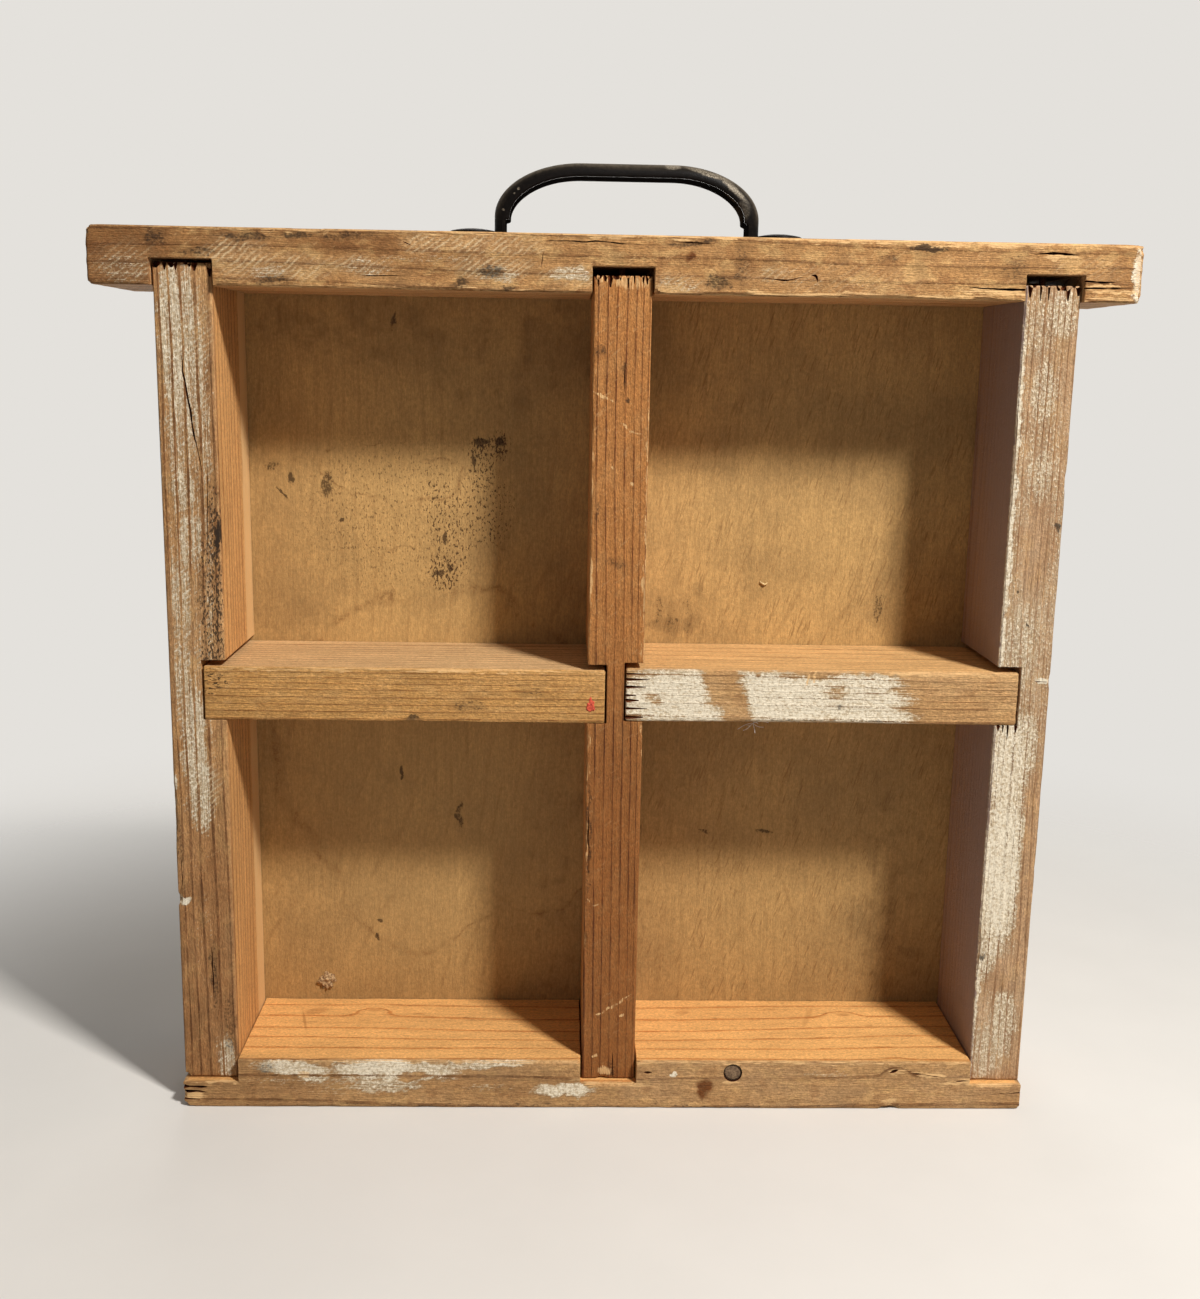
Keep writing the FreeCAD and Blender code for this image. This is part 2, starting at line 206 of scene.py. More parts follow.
def board_grid(board, steps):
    """Points and quads of a board with sharp edges."""
    xs, ys, zs = (grid_lines(axis_breaks(board, axis), steps[axis]) for axis in range(3))
    middles = [(line[1:] + line[:-1]) / 2 for line in (xs, zs)]
    solid = np.ones((len(middles[0]), len(middles[1])), bool)
    for low, high in board.notches:
        in_x = (middles[0] > low[0]) & (middles[0] < high[0])
        in_z = (middles[1] > low[2]) & (middles[1] < high[2])
        solid &= ~np.outer(in_x, in_z)
    corners = np.array(board_faces(xs, ys, zs, solid))
    flat = (corners[..., 0] * len(ys) + corners[..., 1]) * len(zs) + corners[..., 2]
    used, quads = np.unique(flat, return_inverse=True)
    i, rest = np.divmod(used, len(ys) * len(zs))
    j, k = np.divmod(rest, len(zs))
    return np.stack([xs[i], ys[j], zs[k]], axis=1), quads.reshape(-1, 4)


def blurred_box(points, low, high, blur):
    """How solid a blurred box is at each point, from 0 outside to 1 inside."""
    width = 2 * blur[:, None]
    rise = np.clip((points - low) / width + 0.5, 0, 1)
    fall = np.clip((high - points) / width + 0.5, 0, 1)
    return (rise * fall).prod(axis=1)


def blurred_board(points, board, blur):
    """How solid the blurred board is at each point."""
    solid = blurred_box(points, *board.box, blur)
    for low, high in board.notches:
        solid = solid * (1 - blurred_box(points, low, high, blur))
    return solid


def away_from(points, notch):
    """How far each point is from a notch."""
    low, high = notch
    return np.linalg.norm(np.maximum(np.maximum(low - points, points - high), 0), axis=1)


def edge_wear(points, board):
    """The blur that wears each stretch of the edges, wider at the chips and slight at the housings."""
    patchy = np.abs(drift(points, WEAR_LENGTH, 3)) ** 1.6
    fine = 0.5 + 0.5 * drift(points, 2.3, 4)
    blur = board.wear * (0.55 + 0.9 * patchy + 0.35 * fine)
    for notch in board.notches:
        blur = blur * (1 - HOUSING_SHARP * (1 - smooth(away_from(points, notch), 0.6, 2.4)))
    ragged = 1 + 0.35 * drift(points, 1.9, 5)
    for chip in board.chips:
        away = np.sqrt((((points - chip.place) / chip.reach) ** 2).sum(axis=1)) * ragged
        blur = np.maximum(blur, chip.bite * (1 - smooth(away, 0.35, 1.0)))
    return blur


def wear_board(points, board):
    """Surface points moved inwards: rounded edges, chips, sagging faces and raised grain."""
    blur = edge_wear(points, board)
    worn = points.copy()
    for _ in range(WEAR_PASSES):
        lack = np.clip(0.5 - blurred_board(worn, board, blur), 0, None)
        slope = np.empty_like(worn)
        for axis in range(3):
            probe = np.zeros(3)
            probe[axis] = WEAR_PROBE
            ahead = blurred_board(worn + probe, board, blur)
            slope[:, axis] = (ahead - blurred_board(worn - probe, board, blur)) / (2 * WEAR_PROBE)
        steep = np.maximum((slope ** 2).sum(axis=1), 1e-6)
        worn += slope * (lack / steep)[:, None]
    inward = slope / np.sqrt(steep)[:, None]
    sink = SAG_DEPTH * (0.5 + 0.5 * drift(points, SAG_SIZE, 6))
    if board.relief:
        soft = 1 - late_wood(ring_phase(points, board.grain))
        sink = sink + board.relief * soft * outer_share(points, board)
    return worn + inward * sink[:, None]


def outer_share(points, board):
    """1 on the faces that weather and hands reach, 0 on the clean ones."""
    share = np.zeros(len(points))
    for axis, level in board.faces:
        share = np.maximum(share, 1 - smooth(np.abs(points[:, axis] - level), 0.5, 2.0))
    return share


def depth_below(points, board):
    """How far each point lies below the faces of the unworn board."""
    low, high = board.box
    depth = np.minimum(points - low, high - points).min(axis=1)
    for notch in board.notches:
        depth = np.minimum(depth, away_from(points, notch))
    return np.clip(depth, 0, None)


def new_mesh(name, points, faces):
    """A mesh from points in millimetres."""
    mesh = bpy.data.meshes.new(name)
    mesh.from_pydata((np.asarray(points) * MM).tolist(), [], np.asarray(faces, dtype=object).tolist())
    mesh.update()
    return mesh


def new_object(name, mesh):
    """An object for a mesh, linked to the scene."""
    made = bpy.data.objects.new(name, mesh)
    bpy.context.scene.collection.objects.link(made)
    return made


def take(obj):
    """The evaluated mesh of a helper object, which is then removed."""
    graph = bpy.context.evaluated_depsgraph_get()
    mesh = bpy.data.meshes.new_from_object(obj.evaluated_get(graph))
    bpy.data.objects.remove(obj)
    return mesh


def mesh_points(mesh):
    """A mesh's points in millimetres."""
    flat = np.empty(len(mesh.vertices) * 3)
    mesh.vertices.foreach_get("co", flat)
    return flat.reshape(-1, 3) / MM


def joined(meshes):
    """Several meshes as one."""
    whole = bmesh.new()
    for mesh in meshes:
        whole.from_mesh(mesh)
        bpy.data.meshes.remove(mesh)
    made = bpy.data.meshes.new("cutters")
    whole.to_mesh(made)
    whole.free()
    return made


def combined(mesh, others, operation):
    """The mesh with others taken out of it or added to it. Cut walls get the second material."""
    body = new_object("body", mesh)
    tool = new_object("tool", joined(others))
    for material in mesh.materials:
        tool.data.materials.append(material)
    index = min(1, max(0, len(mesh.materials) - 1))
    tool.data.polygons.foreach_set("material_index", [index] * len(tool.data.polygons))
    change = body.modifiers.new("change", "BOOLEAN")
    change.operation = operation
    change.solver = "MANIFOLD"
    change.object = tool
    made = take(body)
    bpy.data.objects.remove(tool)
    return made


def loose_shells(whole):
    """The vertices of each separate shell."""
    unseen = set(whole.verts)
    shells = []
    while unseen:
        shell = [unseen.pop()]
        for vertex in shell:
            near = {edge.other_vert(vertex) for edge in vertex.link_edges} & unseen
            unseen -= near
            shell += near
        shells.append(shell)
    return sorted(shells, key=len)


def main_shell(mesh):
    """The cut mesh in triangles, without the folded pairs, crumbs and closed pockets a cut can leave."""
    whole = bmesh.new()
    whole.from_mesh(mesh)
    bmesh.ops.triangulate(whole, faces=whole.faces[:])
    corners = Counter(frozenset(face.verts) for face in whole.faces)
    folded = [face for face in whole.faces if corners[frozenset(face.verts)] > 1]
    bmesh.ops.delete(whole, geom=folded, context="FACES")
    crumbs = [vertex for shell in loose_shells(whole)[:-1] for vertex in shell]
    bmesh.ops.delete(whole, geom=crumbs, context="VERTS")
    whole.to_mesh(mesh)
    whole.free()
    return mesh


def ring_points(middle, across, up, radius, sides):
    """Points round a circle."""
    points = []
    for step in range(sides):
        angle = 2 * math.pi * step / sides
        points.append(middle + (across * math.cos(angle) + up * math.sin(angle)) * radius)
    return points


def ring_faces(rings, sides, wrap=False):
    """Quads between rings of points, from each ring to the next."""
    faces = []
    for ring, step in product(range(rings if wrap else rings - 1), range(sides)):
        a, b, after = ring * sides, (ring + 1) % rings * sides, (step + 1) % sides
        faces.append([a + step, a + after, b + after, b + step])
    return faces


def tube_faces(rings, sides):
    """Faces of a tube with closed ends."""
    last = (rings - 1) * sides
    return [list(range(sides)), list(range(last, last + sides))] + ring_faces(rings, sides)


def turned(profile, start, direction, sides=20):
    """A turned solid: radius and depth along a direction from a starting point."""
    axis = Vector(direction).normalized()
    across = axis.orthogonal().normalized()
    up = axis.cross(across)
    points = []
    for radius, depth in profile:
        points += ring_points(Vector(start) + axis * depth, across, up, radius, sides)
    first, last, *walls = tube_faces(len(profile), sides)
    return new_mesh("turned", points, [first[::-1], *walls, last])


def nail_hole(nail, place, direction):
    """Cutter for the hole of a nail whose head face is at a place."""
    head_r, shank_r = nail.head_r + FIT_GAP, nail.shank_r + FIT_GAP
    head_end = nail.head_t + FIT_GAP
    profile = [
        (head_r * 1.08, -NAIL_SINK - CUT_LIFT), (head_r * 1.04, -NAIL_SINK), (head_r, 0.2),
        (head_r, head_end), (shank_r, head_end), (shank_r, nail.length + FIT_GAP),
    ]
    return turned(profile, place, direction)


def crack(path, width, depth, seed, open_start):
    """Cutter for a crack in a front: a ragged wedge along a path, which closes towards its ends."""
    spine = np.array(path, float)
    count = max(8, int(np.linalg.norm(spine[-1] - spine[0]) / 1.1))
    at = np.linspace(0, len(spine) - 1, count)
    line = np.stack([np.interp(at, range(len(spine)), spine[:, axis]) for axis in range(3)], axis=1)
    outward = np.array(FRONT, float)
    along = np.gradient(line, axis=0)
    side = np.cross(along, outward)
    side /= np.linalg.norm(side, axis=1)[:, None]
    share = np.linspace(0, 1, count)
    swell = np.sqrt(1 - share) if open_start else np.sin(np.pi * np.clip(share, 0.02, 0.98)) ** 0.6
    swell = np.maximum(swell * (0.75 + 0.45 * drift(line, 2.1, seed)), 0.06)
    line = line + side * (0.28 * drift(line, 4.0, seed + 1))[:, None]
    deep = (depth * np.maximum(swell, 0.15))[:, None]
    half = (0.5 * width * swell)[:, None] * (1 + CUT_LIFT / deep)
    rows = [line + outward * CUT_LIFT - side * half, line + outward * CUT_LIFT + side * half]
    rows.append(line - outward * deep)
    faces = [[0, count, 2 * count], [count - 1, 3 * count - 1, 2 * count - 1]]
    for first, second in ((0, 1), (1, 2), (2, 0)):
        for step in range(count - 1):
            a, b = first * count + step, second * count + step
            faces.append([a, a + 1, b + 1, b])
    return outward_mesh("crack", np.concatenate(rows), faces)


def cracks(front, *rows, open_start=False):
    """Cutters for cracks in a front: width, depth, seed, and the X and Z that each runs through."""
    cutters = []
    for width, depth, seed, *places in rows:
        path = [(x, front, z) for x, z in places]
        cutters.append(crack(path, width, depth, seed, open_start))
    return cutters


def outward_mesh(name, points, faces):
    """A closed mesh with its faces turned outwards."""
    mesh = new_mesh(name, points, faces)
    whole = bmesh.new()
    whole.from_mesh(mesh)
    bmesh.ops.recalc_face_normals(whole, faces=whole.faces)
    whole.to_mesh(mesh)
    whole.free()
    return mesh


# Geometry node trees

def new_tree(name, inputs):
    """A geometry node tree with named inputs and one geometry output."""
    tree = bpy.data.node_groups.new(name, "GeometryNodeTree")
    tree.interface.new_socket("Geometry", in_out="INPUT", socket_type="NodeSocketGeometry")
    for label, kind in inputs:
        tree.interface.new_socket(label, in_out="INPUT", socket_type="NodeSocket" + kind)
    tree.interface.new_socket("Geometry", in_out="OUTPUT", socket_type="NodeSocketGeometry")
    return tree


class Wiring:
    """Short calls for making and linking the nodes of a tree."""

    def __init__(self, tree):
        self.tree = tree

    def node(self, kind, inputs=(), **settings):
        made = self.tree.nodes.new(kind)
        for setting, value in settings.items():
            setattr(made, setting, value)
        for socket, value in dict(inputs).items():
            self.feed(made.inputs[socket], value)
        return made

    def feed(self, socket, value):
        if isinstance(value, bpy.types.NodeSocket):
            self.tree.links.new(value, socket)
        else:
            socket.default_value = value

    def math(self, operation, *values, clamp=False):
        made = self.node("ShaderNodeMath", enumerate(values), operation=operation, use_clamp=clamp)
        return made.outputs[0]

    def times(self, first, second):
        return self.math("MULTIPLY", first, second)

    def times_plus(self, first, second, third):
        return self.math("MULTIPLY_ADD", first, second, third)

    def plus(self, first, second):
        return self.math("ADD", first, second)

    def minus(self, first, second):
        return self.math("SUBTRACT", first, second)

    def parts(self, vector):
        """The X, Y and Z of a vector."""
        return self.node("ShaderNodeSeparateXYZ", {0: vector}).outputs

    def vector(self, operation, *values):
        return self.node("ShaderNodeVectorMath", enumerate(values), operation=operation).outputs[0]


def run_tree(tree, base, values):
    """The plain mesh that a tree makes from a base mesh, its inputs set by name."""
    holder = new_object(tree.name, base)
    modifier = holder.modifiers.new(tree.name, "NODES")
    modifier.node_group = tree
    for item in tree.interface.items_tree:
        if item.in_out == "INPUT" and item.name in values:
            modifier[item.identifier] = values[item.name]
    return take(holder)


def end_tree(w, given, instances):
    """Makes the instances of a tree real and gives them the material."""
    solid = w.node("GeometryNodeRealizeInstances", {"Geometry": instances}).outputs[0]
    dressed = w.node("GeometryNodeSetMaterial", {"Geometry": solid, "Material": given["Material"]})
    w.node("NodeGroupOutput", {"Geometry": dressed.outputs[0]})


def uneven_row(w, given):
    """Points about a pitch apart along X."""
    offset = w.node("ShaderNodeCombineXYZ", {"X": given["Pitch"]}).outputs[0]
    row = w.node("GeometryNodeMeshLine", {"Count": given["Count"], "Offset": offset}).outputs["Mesh"]
    shift = w.node("FunctionNodeRandomValue", {
        "Min": (-0.3, 0, 0), "Max": (0.3, 0, 0), "Seed": given["Seed"],
    }, data_type="FLOAT_VECTOR").outputs["Value"]
    shift = w.node("ShaderNodeVectorMath", {0: shift, "Scale": given["Pitch"]}, operation="SCALE").outputs[0]
    return w.node("GeometryNodeSetPosition", {"Geometry": row, "Offset": shift}).outputs[0]


def hung_spike(w):
    """A four-sided spike that points down, one unit long."""
    spike = w.node("GeometryNodeMeshCone", {
        "Vertices": 4, "Radius Top": 0.28, "Radius Bottom": 1.0, "Depth": 1.0,
    }).outputs["Mesh"]
    return w.node("GeometryNodeTransform", {
        "Geometry": spike, "Translation": (0, 0, 0.15), "Rotation": (math.pi, 0, 0),
    }).outputs[0]


def splinter_tree():
    """A row of pointed gaps where fibres have torn out of a sawn end."""
    tree = new_tree("torn_fibres", [
        ("Count", "Int"), ("Pitch", "Float"), ("Width", "Float"), ("Depth", "Float"),
        ("Length", "Float"), ("Seed", "Int"), ("Material", "Material"),
    ])
    w = Wiring(tree)
    given = w.node("NodeGroupInput").outputs
    share = w.node("FunctionNodeRandomValue", {
        "Min": (0.45, 0.6, 0.25), "Max": (1.3, 1.0, 1.0), "Seed": w.plus(given["Seed"], 7),
    }, data_type="FLOAT_VECTOR").outputs["Value"]
    full = w.node("ShaderNodeCombineXYZ", {
        "X": w.times(given["Width"], 0.5), "Y": given["Depth"], "Z": given["Length"],
    }).outputs[0]
    placed = w.node("GeometryNodeInstanceOnPoints", {
        "Points": uneven_row(w, given), "Instance": hung_spike(w),
        "Scale": w.vector("MULTIPLY", share, full),
    })
    end_tree(w, given, placed.outputs[0])
    return tree


def torn_row(tree, start, end, into, length, count, width=0.8, depth=2.2, seed=1):
    """Cutters for one row of torn fibres: from start to end of the row, and into the wood."""
    start, end = Vector(start), Vector(end)
    along = (end - start).normalized()
    pitch = (end - start).length / max(1, count - 1)
    mesh = run_tree(tree, bpy.data.meshes.new("row"), {
        "Count": count, "Pitch": pitch * MM, "Width": width * pitch * MM, "Depth": depth * MM,
        "Length": length * MM, "Seed": seed,
    })
    turn = Matrix((along, Vector(FRONT), -Vector(into))).transposed().to_4x4()
    mesh.transform(Matrix.Translation(start * MM) @ turn)
    return outward_mesh("torn", mesh_points(mesh), [list(face.vertices) for face in mesh.polygons])


# Finishes

class Finish(Wiring):
    """A material being made, on coordinates in millimetres."""

    def __init__(self, name):
        self.material = bpy.data.materials.new(name)
        self.material.use_nodes = True
        super().__init__(self.material.node_tree)
        self.shader = self.tree.nodes["Principled BSDF"]
        object_place = self.node("ShaderNodeTexCoord").outputs["Object"]
        self.place = self.node("ShaderNodeVectorMath", {0: object_place, "Scale": 1 / MM},
                               operation="SCALE").outputs[0]

    def attribute(self, name):
        return self.node("ShaderNodeAttribute", attribute_name=name).outputs["Fac"]

    def noise(self, place, scale, detail=3.0, roughness=0.55):
        return self.node("ShaderNodeTexNoise", {
            "Vector": place, "Scale": scale, "Detail": detail, "Roughness": roughness,
        }).outputs["Fac"]

    def stretched(self, factors):
        return self.vector("MULTIPLY", self.place, factors)

    def band(self, value, start, end, low=0.0, high=1.0):
        """A smooth step from low to high as the value goes from start to end."""
        return self.node("ShaderNodeMapRange", {
            "Value": value, "From Min": start, "From Max": end, "To Min": low, "To Max": high,
        }, interpolation_type="SMOOTHSTEP").outputs["Result"]

    def mix(self, share, first, second, blend="MIX"):
        made = self.node("ShaderNodeMix", data_type="RGBA", blend_type=blend)
        for index, value in ((0, share), (6, first), (7, second)):
            self.feed(made.inputs[index], value)
        return made.outputs[2]

    def ramp(self, value, stops):
        made = self.node("ShaderNodeValToRGB", {"Fac": value})
        points = made.color_ramp.elements
        while len(points) < len(stops):
            points.new(0.5)
        for point, (at, colour) in zip(points, stops):
            point.position = at
            point.color = colour
        return made.outputs["Color"]

    def ragged_place(self, reach, scale):
        """Places shifted to and fro, for marks with ragged edges."""
        push = self.node("ShaderNodeTexNoise", {"Vector": self.place, "Scale": scale, "Detail": 4.0})
        centred = self.vector("SUBTRACT", push.outputs["Color"], (0.5, 0.5, 0.5))
        return self.vector("ADD", self.place, self.vector("MULTIPLY", centred, (reach, 0, reach)))

    def marks(self, place, spots, soft=0.55):
        """A mask of oval marks on a front face: middle, half sizes, tilt in degrees and strength."""
        total = 0.0
        for x, z, half_x, half_z, tilt, strength in spots:
            oval = self.node("ShaderNodeMapping", {
                "Vector": place, "Location": (x, 0, z), "Rotation": (0, -math.radians(tilt), 0),
                "Scale": (half_x, 1e5, half_z),
            }, vector_type="TEXTURE").outputs[0]
            away = self.node("ShaderNodeVectorMath", {0: oval}, operation="LENGTH").outputs["Value"]
            mark = self.band(away, 1 + soft / 2, 1 - soft / 2, 0.0, strength)
            total = self.math("MAXIMUM", total, mark)
        return total

    def front_share(self, front):
        """1 on the front face and its edges, 0 behind them."""
        depth = self.parts(self.place)["Y"]
        return self.band(depth, front + 2.6, front + 0.7)

    def bump(self, height, distance, strength=1.0):
        return self.node("ShaderNodeBump", {
            "Height": height, "Distance": distance * MM, "Strength": strength,
        }).outputs["Normal"]

    def done(self, colour, roughness, normal):
        self.feed(self.shader.inputs["Base Color"], colour)
        self.feed(self.shader.inputs["Roughness"], roughness)
        self.feed(self.shader.inputs["Normal"], normal)
        return self.material


# How a board looks: the axis of its grain, its colours, how strong each kind of weathering is, and then
# marks as rows of X, Z, half width, half height, tilt in degrees and strength
WoodLook = namedtuple(
    "WoodLook",
    "axis early late old_early old_late grey grime line streaks mottle paint paint_mix bare smudges specks "
    "stains hatches fresh inner_coat outer_coat pale_back top_spots",
)
PLAIN_LOOK = WoodLook(
    axis=0, early=srgb(208, 160, 106), late=srgb(160, 102, 54), old_early=srgb(180, 136, 90),
    old_late=srgb(112, 74, 42), grey=srgb(146, 116, 84), grime=0.35, line=0.2, streaks=1.0, mottle=0.3,
    paint=(), paint_mix=(0.5, 0.5, 0.0, 0.6), bare=(), smudges=(), specks=(), stains=(), hatches=(),
    fresh=(), inner_coat=None, outer_coat=None, pale_back=None, top_spots=None,
)
PAINT = srgb(235, 224, 201)
PAINT_THIN = srgb(204, 184, 152)
COAT_IN_SHADE = srgb(154, 134, 128)
SOOT = srgb(40, 30, 22)
OCHRE = srgb(212, 170, 112)
UMBER = srgb(132, 88, 50)
STAIN_TINT = srgb(158, 124, 94)
GRIME = srgb(84, 60, 38)
ARRIS = srgb(212, 170, 118)
FRESH_AND_HIGHLIGHT = srgb(232, 190, 134)
SAW_SLANT = 38.0            # slant of the saw marks on the fronts, in degrees
SAW_GAP = 1.6               # distance between saw marks
SCRATCH_SLANT = -52.0       # slant of the dark scratches across them
SCUFF = srgb(216, 188, 146)


def grey(level):
    """A grey for masks."""
    return level, level, level, 1.0


class WoodFinish(Finish):
    """A pine board: growth lines, fibre, weather, paint left in the grain, and listed marks."""

    def __init__(self, name, look, front):
        super().__init__(name)
        self.look = look
        self.front = front
        self.x, self.y, self.z = self.parts(self.place)
        self.streak = self.fibre(0.035, 0.55, 4.0)
        self.fine = self.fibre(0.035, 3.0, 3.0)
        self.grit = self.fibre(0.3, 2.4, 3.0)
        self.dash = self.fibre(0.14, 1.7, 3.0)
        self.cloud = self.band(self.noise(self.place, 0.11, 5.0, 0.65), 0.3, 0.7)
        self.patch = self.fibre(0.4, 0.05, 4.0)
        self.fuzz = self.band(self.noise(self.place, 1.0, 5.0, 0.72), 0.3, 0.7)
        self.blotch = self.fibre(0.5, 0.22, 4.0)
        self.smear = self.times_plus(self.grit, 0.45, self.times(self.fuzz, 0.55))
        self.dust = self.band(self.noise(self.place, 2.4, 3.0, 0.7), 0.32, 0.68)
        self.weather = self.attribute("weather")
        self.deep = self.attribute("deep")
        self.late = self.growth_lines()
        self.near_front = self.front_share(front)
        self.ragged = self.ragged_place(5.0, 0.22)

    def fibre(self, stretch, scale, detail):
        """Noise drawn out along the grain, spread over 0 to 1."""
        factors = [1.0] * 3
        factors[self.look.axis] = stretch
        return self.band(self.noise(self.stretched(factors), scale, detail, 0.62), 0.3, 0.7)

    def growth_lines(self):
        """Thin dark late wood at the end of each ring, stronger in some stretches than in others."""
        waver = self.minus(self.fine, 0.5)
        ring = self.math("FRACT", self.times_plus(waver, 0.07, self.attribute("ring")))
        share = self.look.line
        steps = ((2.2, 0.03), (1.2, 0.2), (0.8, 1.0), (0.3, 0.85), (0.05, 0.0))
        stops = [(1 - share * before, grey(level)) for before, level in steps]
        line = self.ramp(ring, [(0.0, grey(0))] + stops)
        return self.times(line, self.band(self.cloud, 0.0, 0.8, 0.7, 1.0))

    def broken(self, region, grain, soft=0.12):
        """Cover that follows a region, broken up by a grain: half of it is left where the region is 0.5."""
        cover = self.band(self.plus(region, grain), 1 - soft, 1 + soft)
        return self.times(cover, self.band(region, 0.02, 0.2))

    def shaded(self, colour, share, *tones):
        """A colour made lighter and darker by several tones, each from 0 to 1, with its swing."""
        level = 1.0
        for tone, swing in tones:
            level = self.times(level, self.band(tone, 0.0, 1.0, 1 - swing, 1 + swing))
        level = self.times_plus(self.minus(level, 1.0), share, 1.0)
        tone = self.node("ShaderNodeCombineColor", {0: level, 1: level, 2: level}).outputs[0]
        return self.mix(1.0, colour, tone, "MULTIPLY")

    def old_wood(self):
        """The colour of weathered faces: mottled, and greyer or dirtier in places."""
        look = self.look
        old = self.mix(self.late, look.old_early, look.old_late)
        old = self.mix(self.band(self.patch, 0.35, 1.0, 0.0, 0.6), old, look.grey)
        old = self.mix(self.band(self.cloud, 0.42, 0.05, 0.0, look.mottle), old, UMBER)
        old = self.mix(self.band(self.blotch, 0.55, 0.95, 0.0, look.mottle), old, OCHRE)
        dirt = self.times(self.band(self.cloud, 0.45, 1.0), self.band(self.grit, 0.1, 0.9, 0.4, 1.0))
        return self.mix(self.times(dirt, look.grime), old, GRIME)

    def bare_wood(self):
        """Clean wood, or old wood where the weather reaches it, with streaks and pores."""
        look = self.look
        colour = self.mix(self.weather, self.mix(self.late, look.early, look.late), self.old_wood())
        colour = self.shaded(colour, self.band(self.weather, 0.0, 1.0, 0.85, 1.0),
                             (self.streak, 0.09 * look.streaks), (self.fine, 0.13 * look.streaks),
                             (self.grit, 0.15), (self.fuzz, 0.14), (self.patch, 0.08))
        pores = self.band(self.dash, 0.8, 0.95)
        pores = self.times(pores, self.band(self.weather, 0, 1, 0.3, 0.55 * look.streaks))
        return self.scratched(self.mix(pores, colour, look.old_late))

    def scratched(self, colour):
        """Fine pale scuffs along the saw marks, and dark scratches across them."""
        scuffs, scratches = (SAW_SLANT, ARRIS, 0.6, 0.55), (SCRATCH_SLANT, UMBER, 0.63, 0.4)
        for slant, turn_to, first, strength in (scuffs, scratches):
            lines = self.noise(self.slanted(slant, (0.22, 1.0, 1.0)), 0.95, 3.0, 0.7)
            strength *= 0.3 + self.look.mottle
            cut = self.band(lines, first, first + 0.08)
            cut = self.times(cut, self.band(self.weather, 0.0, 1.0, 0.2 * strength, strength))
            colour = self.mix(cut, colour, turn_to)
        return colour

    def front_marks(self, spots, soft):
        """Marks with ragged edges that stay on the front."""
        return self.times(self.marks(self.ragged, spots, soft), self.near_front)

    def slanted(self, slant, factors):
        """Places turned so that X runs along lines that slant across a front."""
        turned_place = self.node("ShaderNodeVectorRotate", {
            "Vector": self.place, "Angle": math.radians(slant),
        }, rotation_type="Y_AXIS").outputs[0]
        return self.vector("MULTIPLY", turned_place, factors)

    def saw_marks(self):
        """Slanting strokes that a coarse saw left on the front."""
        across = self.parts(self.slanted(SAW_SLANT, (1, 1, 1 / SAW_GAP)))["Z"]
        wander = self.noise(self.place, 0.09, 2.0)
        across = self.times_plus(wander, 1.6, across)
        across = self.times_plus(self.noise(self.place, 0.4, 2.0), 0.6, across)
        stroke = self.times_plus(self.fuzz, 0.1, self.math("PINGPONG", across, 0.5))
        breaks = self.noise(self.slanted(SAW_SLANT, (0.16, 0.4, 0.5)), 1.2, 3.0, 0.6)
        return self.times(self.band(stroke, 0.24, 0.52), self.band(breaks, 0.36, 0.6))

    def whitewash(self, colour):
        """Old paint that is left in fibres, grains and saw marks."""
        region = self.front_marks(self.look.paint, 1.0)
        if self.look.bare:
            gone = self.marks(self.ragged, self.look.bare, 0.95)
            region = self.math("SUBTRACT", region, gone, clamp=True)
        return self.painted(colour, region)

    def painted(self, colour, region):
        """Paint over a region, broken up as the board's paint is."""
        in_fibre, in_grain, in_saw, in_lines = self.look.paint_mix
        kept = self.times(self.fine, 0.6 * in_fibre)
        kept = self.times_plus(self.streak, 0.4 * in_fibre, kept)
        for grain, share in ((self.grit, 0.4), (self.dust, 0.35), (self.fuzz, 0.25)):
            kept = self.times_plus(grain, share * in_grain, kept)
        if in_saw:
            kept = self.times_plus(self.saw_marks(), in_saw, kept)
        kept = self.times_plus(self.late, -in_lines, kept)
        cover = self.broken(region, kept, 0.16)
        thick = self.band(self.plus(region, self.fuzz), 0.9, 1.6)
        coat = self.shaded(self.mix(thick, PAINT_THIN, PAINT), 1.0, (self.grit, 0.08), (self.fuzz, 0.07))
        self.height = self.times_plus(cover, 0.35, self.height)
        return self.mix(self.times(cover, 0.93), colour, coat)

    def on_wall(self, wall):
        """1 on the side of a standing board that lies at this X, 0 away from it."""
        return self.band(self.math("ABSOLUTE", self.minus(self.x, wall)), 1.2, 0.5)

    def coated_outside(self, colour):
        """Old paint left on the outer side of a standing board, from marks in Y and Z."""
        wall, spots = self.look.outer_coat
        ragged = self.parts(self.ragged)
        along = self.plus(self.y, self.minus(ragged["X"], self.x))
        seen_side = self.node("ShaderNodeCombineXYZ", {0: along, 2: ragged["Z"]}).outputs[0]
        return self.painted(colour, self.times(self.marks(seen_side, spots, 1.0), self.on_wall(wall)))

    def coated_inside(self, colour):
        """Thin paint on the wall that faces the compartments, thicker towards the front."""
        on_wall = self.on_wall(self.look.inner_coat)
        region = self.times(on_wall, self.band(self.y, self.front + 46, self.front + 4, 0.55, 0.95))
        edge = self.times_plus(self.cloud, 1.6, self.front + 10.5)
        line = self.band(self.math("ABSOLUTE", self.minus(self.y, edge)), 0.5, 0.15)
        region = self.math("MAXIMUM", region, self.times(line, on_wall))
        grain = self.times_plus(self.fuzz, 0.4, self.times(self.fine, 0.6))
        return self.mix(self.times(self.broken(region, grain, 0.4), 0.9), colour, COAT_IN_SHADE)

